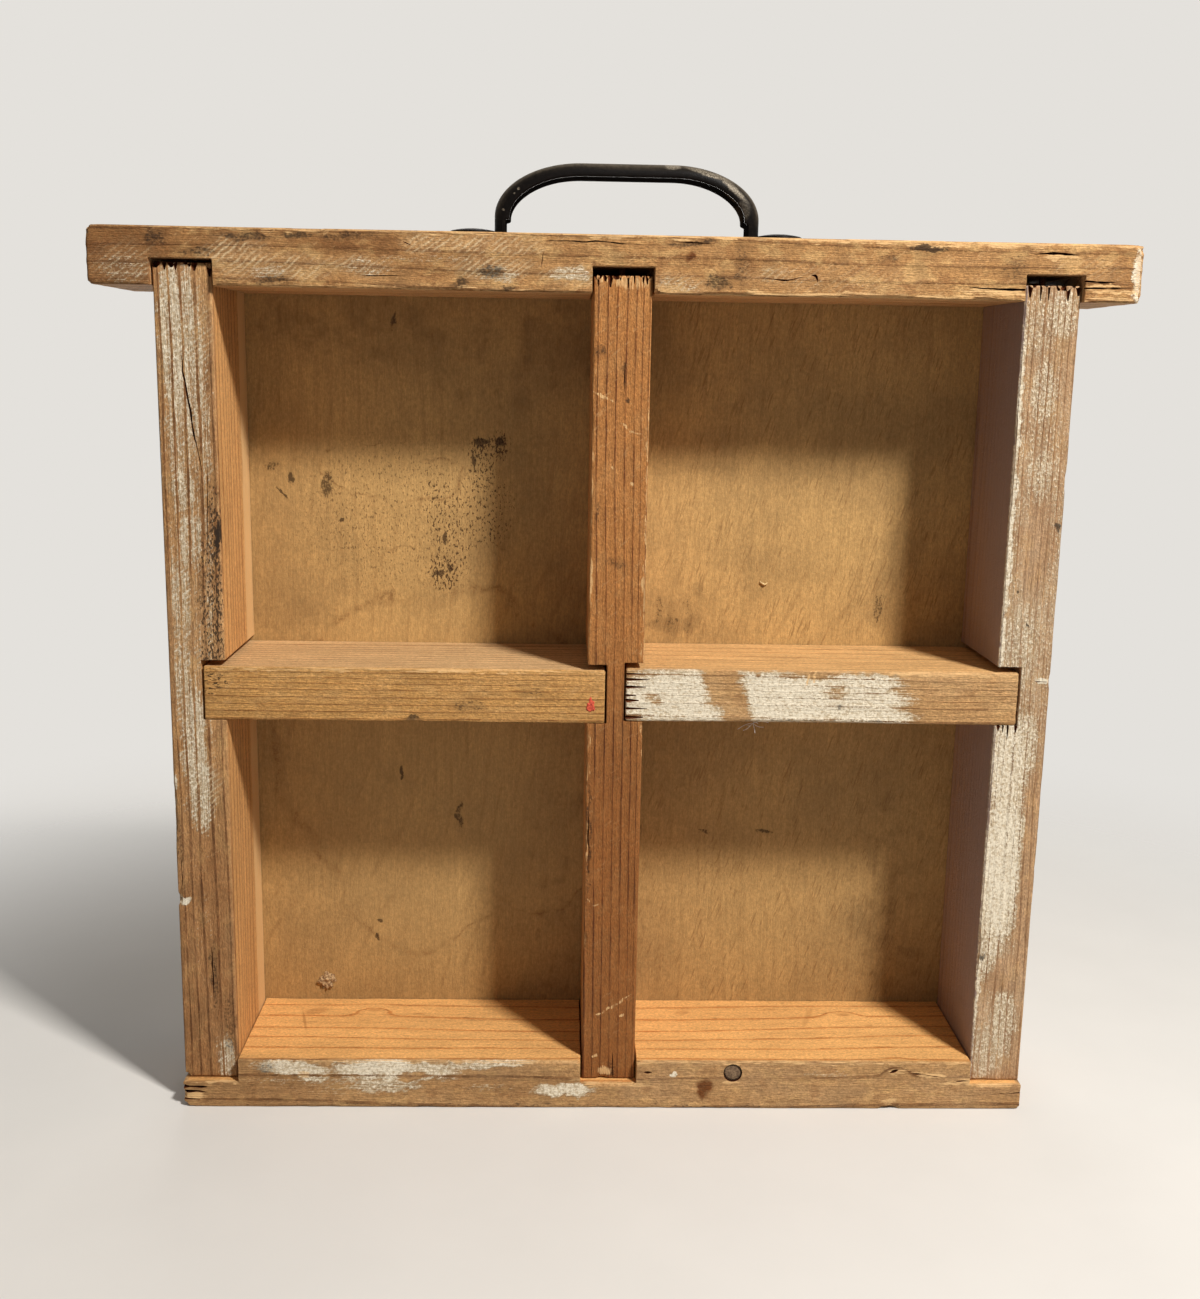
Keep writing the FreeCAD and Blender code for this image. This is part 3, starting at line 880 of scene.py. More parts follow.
    def marked(self, colour):
        """Marks that people left on the front: stains, scratches, paint, soot and bruises."""
        look = self.look
        if look.stains:
            tint = self.times(self.front_marks(look.stains, 0.9), self.band(self.fuzz, 0.0, 0.9, 0.6, 1.0))
            colour = self.mix(tint, colour, STAIN_TINT, "MULTIPLY")
        if look.hatches:
            strokes = self.times(self.saw_marks(), self.band(self.dust, 0.0, 0.8, 0.4, 0.9))
            strokes = self.times_plus(self.fuzz, 0.25, strokes)
            strokes = self.times(self.front_marks(look.hatches, 0.9), strokes)
            colour = self.mix(strokes, colour, SCUFF)
        if look.paint:
            colour = self.whitewash(colour)
        # Pale fresh wood where fibres have torn; the long marks along a board's top edge are also a painted
        # highlight.
        if look.fresh:
            torn = self.broken(self.front_marks(look.fresh, 0.9), self.fine, 0.2)
            colour = self.mix(self.times(torn, 0.8), colour, FRESH_AND_HIGHLIGHT)
        if look.smudges:
            smear = self.broken(self.front_marks(look.smudges, 1.2), self.smear, 0.3)
            colour = self.mix(self.times(smear, 0.82), colour, SOOT)
        if look.top_spots:
            colour = self.marked_above(colour)
        if look.specks:
            dots = self.fibre(0.4, 1.9, 2.0)
            mould = self.broken(self.front_marks(look.specks, 1.2), dots, 0.1)
            colour = self.mix(self.times(mould, 0.85), colour, SOOT)
        return colour

    def marked_above(self, colour):
        """Knots and scars on the upper face of a lying board."""
        level, spots = self.look.top_spots
        seen_flat = self.node("ShaderNodeCombineXYZ", {0: self.x, 2: self.y}).outputs[0]
        mark = self.times(self.marks(seen_flat, spots, 0.9), self.band(self.z, level - 0.9, level - 0.3))
        mark = self.times(mark, self.band(self.fuzz, 0.1, 0.8, 0.4, 1.0))
        return self.mix(mark, colour, STAIN_TINT, "MULTIPLY")

    def raised_grain(self):
        """Height of the fibres and growth lines."""
        height = self.times_plus(self.fine, 0.35, self.times(self.streak, 0.35))
        for grain, share in ((self.late, 0.4), (self.grit, 0.4), (self.fuzz, 0.35)):
            height = self.times_plus(grain, share, height)
        return height

    def pale_strip(self, colour):
        """Wood kept clean along the back of an inner wall."""
        start, wall = self.look.pale_back
        strip = self.times_plus(self.fine, 1.2, start)
        behind = self.band(self.minus(self.y, strip), -0.4, 0.4, 0.0, 0.85)
        return self.mix(self.times(behind, self.on_wall(wall)), colour, FRESH_AND_HIGHLIGHT)

    def rubbed_edges(self, colour):
        """Pale edges where hands and tools have worn the board below its old faces."""
        rubbed = self.times(self.band(self.deep, 0.2, 0.55), self.band(self.fuzz, 0.2, 0.8, 0.1, 0.8))
        rubbed = self.times(rubbed, self.band(self.weather, 0.0, 0.5, 0.4, 0.9))
        return self.mix(rubbed, colour, ARRIS)

    def made(self):
        """The whole material, built up from the bare wood."""
        colour = self.bare_wood()
        self.height = self.raised_grain()
        if self.look.inner_coat is not None:
            colour = self.coated_inside(colour)
        if self.look.pale_back is not None:
            colour = self.pale_strip(colour)
        if self.look.outer_coat is not None:
            colour = self.coated_outside(colour)
        colour = self.rubbed_edges(self.marked(colour))
        self.shader.inputs["Specular IOR Level"].default_value = 0.2
        roughness = self.times_plus(self.fine, 0.16, 0.5)
        roughness = self.times_plus(self.weather, 0.2, roughness)
        return self.done(colour, roughness, self.bump(self.height, 0.3, 0.9))


def wood(name, look, front):
    """The material of one board."""
    return WoodFinish(name, look, front).made()


def torn_wood():
    """Raw fibres inside cracks, holes and torn ends, with painted shade: the colour darkens to near black
    where they lie deep.
    """
    f = Finish("torn_wood")
    deep = f.attribute("deep")
    fibres = f.noise(f.place, 1.4, 4.0, 0.65)
    # Painted shade: the deeper a point lies below the board's faces, the darker its colour.
    colour = f.ramp(f.times_plus(fibres, 0.25, f.times(deep, 0.62)), [
        (0.0, srgb(150, 88, 50)), (0.2, srgb(86, 42, 22)), (0.5, srgb(38, 20, 11)), (1.0, srgb(14, 8, 4)),
    ])
    f.shader.inputs["Specular IOR Level"].default_value = 0.05
    return f.done(colour, f.band(fibres, 0.3, 0.7, 0.75, 0.95), f.bump(fibres, 0.3))


VENEER_GLUE_LINES = (1.35, 2.65)   # depth of the two glue lines below the front of the panel
PANEL_SPECKS = (
    (-46.9, 230, 5, 4, 0, 0.45), (-40.4, 231, 3.2, 4.5, 0, 0.45), (-47, 222, 5, 9, 0, 0.3),
    (-60.5, 185.5, 5.5, 7, 0, 0.4), (-60, 203, 8, 22, 14, 0.24), (-48, 208, 14, 16, 0, 0.2),
    (-78, 205, 44, 34, 0, 0.13),
)
PANEL_SMUDGES = (
    (-102.7, 216.6, 1.8, 4.4, -14, 0.7), (-122.1, 222.8, 3.2, 1.6, 40, 0.5),
    (-118.6, 213.7, 0.5, 2.8, 38, 0.95), (-115.8, 218.5, 0.9, 2.4, 10, 0.75),
    (-78.3, 274.6, 0.8, 3.2, -8, 0.75), (-46.9, 232.4, 2.6, 1.5, 20, 0.95),
    (-40.2, 232.6, 1.3, 2.0, 0, 0.9), (-50.2, 226.6, 0.9, 2.4, -12, 0.8),
    (-60.1, 198, 1.0, 2.2, 0, 0.95), (-62.3, 185, 1.6, 1.3, 0, 0.9), (-58.8, 187, 0.9, 1.6, 0, 0.8),
    (-97.6, 204, 0.7, 0.9, 0, 0.8), (-55.6, 92.4, 1.4, 5.2, 0, 0.6), (-77.3, 109, 0.8, 2.4, 0, 0.85),
    (-86, 50, 1.0, 1.1, 0, 0.8), (-86.5, 43, 0.7, 1.6, 0, 0.8), (60.6, 86.5, 3.2, 0.8, 0, 0.8),
    (38, 86.5, 2.2, 0.6, 0, 0.6), (99.4, 173.1, 1.6, 5.5, 0, 0.5), (18, 172, 1.5, 7, 0, 0.36),
    (23, 169, 1.8, 8, 4, 0.36), (29, 170, 1.4, 9, 0, 0.32),
)
PANEL_STAINS = (
    (20, 168, 6, 12, 0, 0.55), (31, 172, 3, 9, -10, 0.5), (-122, 165, 14, 16, 0, 0.3),
    (110, 60, 18, 50, 0, 0.3), (-30, 262, 34, 22, 0, 0.3), (-10, 60, 30, 60, 0, 0.2),
    (-90, 272, 60, 12, 0, 0.3),
)
PANEL_TIDES = (
    (-84, 222, 26, 12, -6, 1.0), (-77.6, 184.9, 9, 10, 0, 1.0), (-72, 66, 27, 29, 0, 1.0),
    (-62, 118, 62, 60, 0, 1.0), (-22, 76, 26, 21, 0, 1.0),
)
PANEL_BACK_GRIME = (
    (0, 3, 150, 8, 0, 0.6), (-126, 30, 22, 30, 0, 0.5), (118, 262, 36, 40, 0, 0.45),
    (60, 120, 50, 16, 20, 0.36), (-70, 210, 40, 10, -30, 0.36), (-146, 180, 5, 90, 0, 0.5),
    (147, 120, 5, 100, 0, 0.5), (0, 299, 150, 5, 0, 0.5),
)
VENEER = srgb(190, 152, 97)
VENEER_DULL = srgb(168, 134, 86)
VENEER_LINE = srgb(118, 84, 48)
VENEER_CORE = srgb(112, 74, 42)
EDGE_DIRT = srgb(120, 90, 58)
PANEL_STAIN = srgb(92, 70, 44)
TIDE_LINE = srgb(112, 74, 40)
TIDE_PALE = srgb(204, 166, 108)
BACK_GRIME = srgb(92, 66, 38)
PANEL_SOOT = srgb(52, 34, 20)
PANEL_MOULD = srgb(54, 32, 17)
DULL_BELOW = (158.0, 142.0)  # heights between which the veneer turns duller
FLECK_SLANT = -17.0         # slant of the veneer's flecks, in degrees from upright


def veneer_flecks(f):
    """Fine dark flecks that slant across the veneer, most of them on the right half."""
    fleck = f.noise(f.slanted(FLECK_SLANT, (1.0, 1.0, 0.09)), 1.5, 3.0, 0.6)
    fleck = f.band(fleck, 0.55, 0.66)
    where = f.times(f.band(f.x, -40, 50, 0.25, 1.0), f.band(f.cloud, 0.2, 0.7, 0.2, 1.0))
    return f.times(fleck, where)


def plain_veneer(f):
    """Fine upright fibre, faint growth lines and slanting flecks."""
    broad = f.band(f.noise(f.place, 0.022, 4.0), 0.35, 0.65)
    tan = f.mix(broad, VENEER, VENEER_DULL)
    tan = f.mix(f.band(f.z, *DULL_BELOW, 0.0, 0.3), tan, VENEER_DULL)
    tan = f.mix(f.band(f.z, *DULL_BELOW, 0.0, 0.12), tan, VENEER_LINE)
    tones = (f.streak, 0.04), (f.fine, 0.06), (f.grit, 0.1), (f.fuzz, 0.09), (f.cloud, 0.05)
    tan = f.shaded(tan, 1.0, *tones)
    colour = f.mix(f.times(f.late, f.band(f.cloud, 0.3, 0.9, 0.04, 0.26)), tan, VENEER_LINE)
    return f.mix(f.times(veneer_flecks(f), 0.5), colour, VENEER_LINE)


def water_marks(f, colour):
    """Old stains on the front of the panel, and the edges of damp patches that have dried."""
    stain = f.broken(f.front_marks(PANEL_STAINS, 1.2), f.cloud, 0.5)
    colour = f.mix(f.times(stain, 0.42), colour, PANEL_STAIN)
    tide = f.marks(f.ragged_place(30.0, 0.035), PANEL_TIDES, 1.0)
    shore = f.band(f.math("ABSOLUTE", f.minus(tide, 0.5)), 0.08, 0.0)
    shore = f.times(shore, f.band(f.fuzz, 0.3, 0.8, 0.1, 0.6))
    shore = f.times(shore, f.band(f.cloud, 0.2, 0.7, 0.15, 1.0))
    colour = f.mix(f.times(shore, f.near_front), colour, TIDE_LINE)
    return f.mix(f.times(f.band(tide, 0.5, 0.7, 0.0, 0.1), f.near_front), colour, TIDE_PALE)


def panel_dirt(f, colour):
    """Grime on the back of the panel, and smudges and mould on its front."""
    behind = f.band(f.minus(f.y, f.front), 3.0, 3.6)
    grubby = f.broken(f.times(f.marks(f.ragged, PANEL_BACK_GRIME, 1.2), behind), f.smear, 0.4)
    colour = f.mix(f.times(grubby, 0.5), colour, BACK_GRIME)
    smear = f.broken(f.front_marks(PANEL_SMUDGES, 1.0), f.smear, 0.25)
    colour = f.mix(f.times(smear, 0.8), colour, PANEL_SOOT)
    dots = f.fibre(0.5, 1.4, 2.0)
    specks = f.broken(f.front_marks(PANEL_SPECKS, 1.2), dots, 0.1)
    return f.mix(f.times(specks, 0.85), colour, PANEL_MOULD)


def plywood(front):
    """Rotary-cut veneer with old stains, and its layers along the edges."""
    f = WoodFinish("plywood_veneer", PLAIN_LOOK._replace(axis=2), front)
    colour = panel_dirt(f, water_marks(f, plain_veneer(f)))
    colour = layered_edge(f, colour)
    f.shader.inputs["Specular IOR Level"].default_value = 0.15
    height = f.times_plus(f.grit, 0.5, f.times_plus(f.fine, 0.4, f.fuzz))
    return f.done(colour, f.band(f.fine, 0.0, 1.0, 0.55, 0.72), f.bump(height, 0.07, 0.7))


def layered_edge(f, colour):
    """The three layers of the sheet where its edges show."""
    depth = f.minus(f.y, f.front)
    inner, outer = VENEER_GLUE_LINES
    core = f.times(f.band(depth, inner - 0.1, inner + 0.1), f.band(depth, outer + 0.1, outer - 0.1))
    facing = f.parts(f.node("ShaderNodeNewGeometry").outputs["Normal"])["Y"]
    on_edge = f.band(f.math("ABSOLUTE", facing), 0.7, 0.4)
    colour = f.mix(f.times(on_edge, f.band(f.fuzz, 0.0, 1.0, 0.1, 0.45)), colour, EDGE_DIRT)
    return f.mix(f.times(on_edge, core), colour, VENEER_CORE)


# Worn spots in the paint, and long marks along the upper sides of both bends that are painted highlights.
HANDLE_WEAR_AND_HIGHLIGHTS = (
    (16.9, 324.6, 2.4, 0.9, 0, 1.0), (-29.2, 322.4, 0.9, 0.6, 30, 1.0), (-33.5, 316.5, 0.4, 0.4, 0, 0.9),
    (-34.8, 315.0, 0.3, 0.3, 0, 0.9), (-38.4, 310, 0.4, 0.4, 0, 0.7), (29, 322.4, 7, 0.8, -16, 0.75),
    (37, 318, 6, 1.0, -42, 0.6), (40.5, 311, 2.0, 3.0, 0, 0.25), (-36, 318.5, 5, 0.6, 44, 0.5),
)
BLACK, BLACK_DUSTY = srgb(8, 6, 5), srgb(17, 13, 11)
# A lighter brown-black for the upper bends: painted sheen together with rubbed dust.
SHEEN_AND_RUB = srgb(94, 84, 70)
STEEL_DULL, STEEL_BRIGHT = srgb(84, 74, 62), srgb(176, 164, 144)
RUST_DARK, RUST_BRIGHT = srgb(74, 40, 22), srgb(126, 68, 34)


def black_enamel():
    """Old black paint on steel, rubbed to bare metal in spots and along the rounded edges, where a lighter
    colour is also a painted highlight.
    """
    f = Finish("black_enamel")
    fuzz = f.noise(f.place, 0.8, 5.0, 0.7)
    pits = f.noise(f.place, 2.6, 3.0, 0.6)
    rub_and_sheen = f.attribute("rub_and_sheen")
    # Bare steel shows where the paint is worn, and more on the upward-facing bends, where it is also a
    # painted highlight.
    bare = f.band(f.times_plus(f.minus(fuzz, 0.5), 1.8, f.times(rub_and_sheen, 0.7)), 0.86, 1.0)
    bare = f.math("MAXIMUM", bare, f.marks(f.ragged_place(1.2, 0.6), HANDLE_WEAR_AND_HIGHLIGHTS, 0.8))
    black = f.mix(f.band(fuzz, 0.3, 0.7), BLACK, BLACK_DUSTY)
    # Painted highlight: the bow's upward-facing bends turn a lighter brown-black, as sheen as well as rubbed
    # dust.
    black = f.mix(f.times(rub_and_sheen, f.band(fuzz, 0.3, 0.7, 0.35, 0.85)), black, SHEEN_AND_RUB)
    steel = f.mix(f.band(pits, 0.35, 0.65), STEEL_DULL, STEEL_BRIGHT)
    f.feed(f.shader.inputs["Metallic"], f.times(bare, 0.3))
    f.shader.inputs["Specular IOR Level"].default_value = 0.06
    rough = f.times_plus(pits, 0.3, 0.24)
    return f.done(f.mix(f.times(bare, 0.7), black, steel), rough,
                  f.bump(f.times_plus(pits, 0.6, fuzz), 0.1, 0.8))


def rusty_steel(name, light, dark):
    """Nail heads and screws: dull steel with patches of rust."""
    f = Finish(name)
    fuzz = f.noise(f.place, 0.9, 5.0, 0.7)
    pits = f.noise(f.place, 3.4, 3.0, 0.6)
    rust = f.band(f.times_plus(pits, 0.4, fuzz), 0.52, 0.78)
    steel = f.mix(f.band(pits, 0.3, 0.7), dark, light)
    f.shader.inputs["Specular IOR Level"].default_value = 0.2
    colour = f.mix(rust, steel, f.mix(f.band(pits, 0.4, 0.6), RUST_DARK, RUST_BRIGHT))
    f.feed(f.shader.inputs["Metallic"], f.minus(0.3, f.times(rust, 0.3)))
    rough = f.times_plus(rust, 0.3, 0.5)
    return f.done(colour, rough, f.bump(f.plus(pits, fuzz), 0.15, 0.8))


def speckled(name, light, dark, roughness):
    """A small crumbly or painted thing in two tones."""
    f = Finish(name)
    fuzz = f.noise(f.place, 1.2, 5.0, 0.7)
    colour = f.mix(f.band(fuzz, 0.38, 0.62), dark, light)
    return f.done(colour, f.band(fuzz, 0.3, 0.7, roughness - 0.1, roughness), f.bump(fuzz, 0.4))


# The boards

top_low, top_high = node_box("top_board")
bottom_low, bottom_high = node_box("bottom_board")
panel_low, panel_high = node_box("back_panel")
uprights = {side: node_box(f"{side}_upright") for side in SIDES}
shelves = {side: node_box(f"{side}_shelf") for side in ("left", "right")}
TORN = torn_wood()
SPLINTERS = splinter_tree()
TOP_Y, BOTTOM_Y = top_low[1], bottom_low[1]
FRONT_Y = uprights["left"][0][1]


def past_depth(low, high):
    """A housing that runs right through from front to back."""
    return np.array([low[0], -THROUGH, low[1]]), np.array([high[0], THROUGH, high[1]])


def solids_of(node):
    """The box of each separate solid of a node, in millimetres."""
    whole = bmesh.new()
    whole.from_mesh(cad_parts[node].data)
    bmesh.ops.remove_doubles(whole, verts=whole.verts, dist=1e-6)
    boxes = []
    for shell in loose_shells(whole):
        places = np.array([vertex.co for vertex in shell]) / MM
        boxes.append((places.min(axis=0), places.max(axis=0)))
    whole.free()
    return sorted(boxes, key=lambda box: tuple(box[0]))


def head_places(node, direction):
    """Where the head of each nail of a node is, for nails driven along a direction."""
    places = []
    for low, high in solids_of(node):
        place = (low + high) / 2
        axis = int(np.argmax(np.abs(direction)))
        place[axis] = low[axis] if direction[axis] > 0 else high[axis]
        places.append(place)
    return places


NAIL_GROUPS = {f"{side}_top_nails": (WIRE_NAIL, DOWN) for side in SIDES}
NAIL_GROUPS |= {f"{side}_bottom_nails": (WIRE_NAIL, UP) for side in SIDES}
NAIL_GROUPS |= {"left_shelf_nails": (WIRE_NAIL, RIGHT), "right_shelf_nails": (WIRE_NAIL, LEFT)}
NAIL_GROUPS |= {
    f"{board}_brads": (BRAD, FRONT)
    for board in ("top", "bottom", "left", "centre", "right", "left_shelf", "right_shelf")
}


def nail_holes(*nodes):
    """Cutters for the holes of some groups of nails."""
    holes = []
    for node in nodes:
        nail, direction = NAIL_GROUPS[node]
        holes += [nail_hole(nail, place, direction) for place in head_places(node, direction)]
    return holes


def add_value(mesh, name, values):
    """A number at each point of a mesh, for its finish to read."""
    layer = mesh.attributes.new(name, "FLOAT", "POINT")
    layer.data.foreach_set("value", np.asarray(values, np.float32))


def make_board(node, board, steps, finish, cutters):
    """One worn board that stands for its node of the frame."""
    name = f"{node}_wood"
    points, quads = board_grid(board, steps)
    mesh = new_mesh(name, wear_board(points, board), quads)
    mesh.materials.append(finish)
    mesh.materials.append(TORN)
    mesh = main_shell(combined(mesh, cutters, "DIFFERENCE"))
    places = mesh_points(mesh)
    add_value(mesh, "ring", ring_phase(places, board.grain))
    add_value(mesh, "weather", outer_share(places, board))
    add_value(mesh, "deep", depth_below(places, board))
    mesh.name = name
    place_piece(new_object(name, mesh), node)


def place_piece(piece, node):
    """Ties a finished piece to the frame."""
    piece.data.polygons.foreach_set("use_smooth", [True] * len(piece.data.polygons))
    piece.data.set_sharp_from_angle(angle=math.radians(SHARP_EDGE))
    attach(piece, "root")
    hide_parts(node)


def screw_holes():
    """Cutters for the handle's screws."""
    shank = SCREW_SHANK_R + FIT_GAP
    profile = [(shank, -CUT_LIFT), (shank, SCREW_LENGTH - SCREW_TIP), (0.3, SCREW_LENGTH)]
    return [turned(profile, place, DOWN) for place in foot_places()]


def top_splits():
    """Splits in the front of the top board, most of them beside its right-hand housing."""
    low, high = uprights["right"]
    return [
        *cracks(
            TOP_Y,
            (0.6, 1.6, 2, (-28.5, 298.7), (-8, 298.9), (7.1, 298.1)),
            (0.6, 1.1, 3, (15.4, 299.3), (30.7, 298.7)),
            (0.5, 1.0, 4, (-83.7, 287.0), (-68.2, 287.2)),
            (0.8, 0.8, 5, (-24.7, 295.7), (-25.3, 290.1)),
            (0.8, 0.8, 16, (-69.5, 297.8), (-66.5, 296.6)),
            (1.0, 1.6, 6, (132.5, 297.6), (140, 298.0), (147.3, 297.6)),
        ),
        *cracks(
            TOP_Y,
            (1.2, 3.0, 7, (high[0] - 1, 289.6), (156, 289.2), (160, 289.5)),
            (1.1, 2.6, 8, (high[0] - 1, 287.2), (157, 287.6), (166.5, 287.7)),
            (1.1, 2.4, 9, (low[0] + 1, 286.6), (122, 286.5), (111, 287.0)),
            open_start=True,
        ),
        *cracks(
            TOP_Y,
            (0.9, 1.0, 10, (60.9, 289.9), (62.6, 289.7), (63.2, 287.6)),
            (0.6, 0.8, 17, (45, 288.6), (53, 287.9), (58.5, 289.2)),
        ),
    ]


TOP_LOOK = PLAIN_LOOK._replace(
    early=srgb(204, 158, 108), old_early=srgb(178, 132, 82), old_late=srgb(136, 94, 55),
    grey=srgb(160, 120, 78), grime=0.4, line=0.12, streaks=0.55, mottle=0.55,
    hatches=(
        (-122, 292, 10, 6, 0, 1.0), (-104, 289.5, 12, 3.6, 0, 0.8), (-62, 297.2, 8, 2.8, 0, 1.0),
        (-42.3, 297.2, 18, 2.8, 0, 1.0), (-40, 290, 13, 3.8, 0, 0.75), (70, 289, 26, 5, 0, 0.2),
        (-157, 290, 10, 6, 0, 0.45), (150, 293, 12, 5, 0, 0.25), (-84, 290, 10, 3, 0, 0.7),
        (-16, 288.6, 9, 3, 0, 0.7), (18, 286, 10, 3, 0, 0.5), (50, 289.6, 12, 3, 0, 0.4),
    ),
    paint=(
        (-16.3, 288.7, 8, 2.4, 0, 0.6), (169.4, 291, 4.4, 13, 0, 1.15), (-82, 289.6, 9, 3, 0, 0.42),
        (-112, 287.6, 7, 2.4, 0, 0.5), (18, 285.6, 9, 2.4, 0, 0.4), (48, 290, 9, 2.4, 0, 0.32),
        (-158, 288, 10, 6, 0, 0.42), (-40, 288.6, 9, 2.8, 0, 0.5), (70, 287, 20, 2, 0, 0.3),
        (-60, 292, 20, 2, 0, 0.3),
    ),
    paint_mix=(0.4, 0.5, 0.1, 0.3),
    # The two long marks along the top edge, at 300.8 and 301, are worn fibre and also a painted highlight
    # where light catches the upper arris.
    fresh=((75, 283.4, 64, 1.2, 0, 0.55), (-70, 283.2, 54, 0.9, 0, 0.35), (158, 283.4, 9, 1.2, 0, 0.5),
           (100, 300.8, 60, 1.3, 0, 0.55), (0, 301, 150, 0.9, 0, 0.4), (121, 285.6, 11, 0.8, 0, 0.8),
           (156, 288.5, 6, 0.5, 0, 0.8), (158, 286.6, 9, 0.6, 0, 0.8), (141, 296.6, 7, 0.8, 0, 0.8)),
    smudges=(
        (-147.5, 297.6, 3.2, 2.6, 0, 0.6), (-134, 293.2, 7, 1.6, 0, 0.52), (-118, 298.6, 9, 1.4, 0, 0.6),
        (-103, 299.4, 6, 0.9, 0, 0.7), (-110.5, 285.2, 6, 1.6, 0, 0.6), (-41.4, 289, 3.8, 2.0, 0, 0.72),
        (-50.7, 285.2, 2.8, 1.9, 0, 0.72), (-35.8, 284.4, 2.2, 1.2, 0, 0.65),
        (38.5, 292.4, 2.8, 6, 0, 0.42), (31.1, 287.1, 5, 2.2, 0, 0.66), (98.1, 299.0, 6.4, 1.0, 0, 1.0),
        (23, 299, 9, 0.9, 0, 0.6), (125.9, 293.1, 4.4, 4.6, 0, 0.42), (86, 295.6, 4, 1.2, 0, 0.4),
        (-88, 299.4, 12, 1.0, 0, 0.5),
    ),
    stains=(
        (22.2, 295, 1.8, 1.6, 0, 1.1), (-156, 291, 19, 14, 0, 0.68), (-88, 297.6, 16, 3, 0, 0.5),
        (-128, 297, 16, 4, 0, 0.4), (-68, 291, 28, 4, 0, 0.25), (163, 291, 5, 9, 0, 0.3),
        (40, 292, 5, 6, 0, 0.2),
    ),
)


def top_chips():
    """Chipped corners and edges of the top board."""
    left, right, top, base = top_low[0], top_high[0], top_high[2], top_low[2]
    chips = [Chip((x, 0, top), (6, 60, 6), 1.7) for x in (left, right)]
    chips += [Chip((x, 0, base), (5, 60, 5), 1.1) for x in (left, right)]
    return chips + [
        Chip((0, TOP_Y, top), (400, 3, 3), 0.9),
        Chip((10.9, TOP_Y, base), (3.2, 4, 2.2), 2.2),
        Chip((right, TOP_Y, 292), (6, 6, 16), 3.0),
        Chip((right, TOP_Y, 292.4), (3, 4, 1.4), 1.4),
        Chip((right, 0, top), (12, 60, 4), 1.5),
        Chip((-60, TOP_Y, base), (16, 3, 1.6), 1.3),
        Chip((34, TOP_Y, base), (14, 3, 1.8), 1.5),
        Chip((84, TOP_Y, base), (20, 3, 1.8), 1.5),
        Chip((118, TOP_Y, base), (8, 3, 1.6), 1.6),
        Chip((-100, TOP_Y, top), (9, 4, 2), 1.8),
        Chip((66, TOP_Y, top), (14, 4, 2), 1.6),
        Chip((108, TOP_Y, top), (9, 4, 2), 1.8),
    ]


def top_board():
    """The weathered board that the handle is screwed to."""
    notches = []
    for side, (low, high) in uprights.items():
        mouth = (low[0] - HOUSING_PLAY, top_low[2] - MOUTH)
        notches.append(past_depth(mouth, (high[0] + HOUSING_PLAY, high[2] + TOP_PLAY[side])))
    faces = [(1, TOP_Y), (2, top_high[2]), (0, top_low[0]), (0, top_high[0])]
    grain = Grain(axis=0, heart=(14, 352), ring_gap=4.4, waver=2.2, seed=11)
    box, chips = (top_low, top_high), top_chips()
    board = Board(box, notches, grain, wear=0.75, relief=0.12, chips=chips, faces=faces)
    cutters = top_splits() + screw_holes()
    cutters += nail_holes(*(f"{side}_top_nails" for side in SIDES), "top_brads")
    finish = wood("weathered_top_pine", TOP_LOOK, TOP_Y)
    make_board("top_board", board, LYING, finish, cutters)


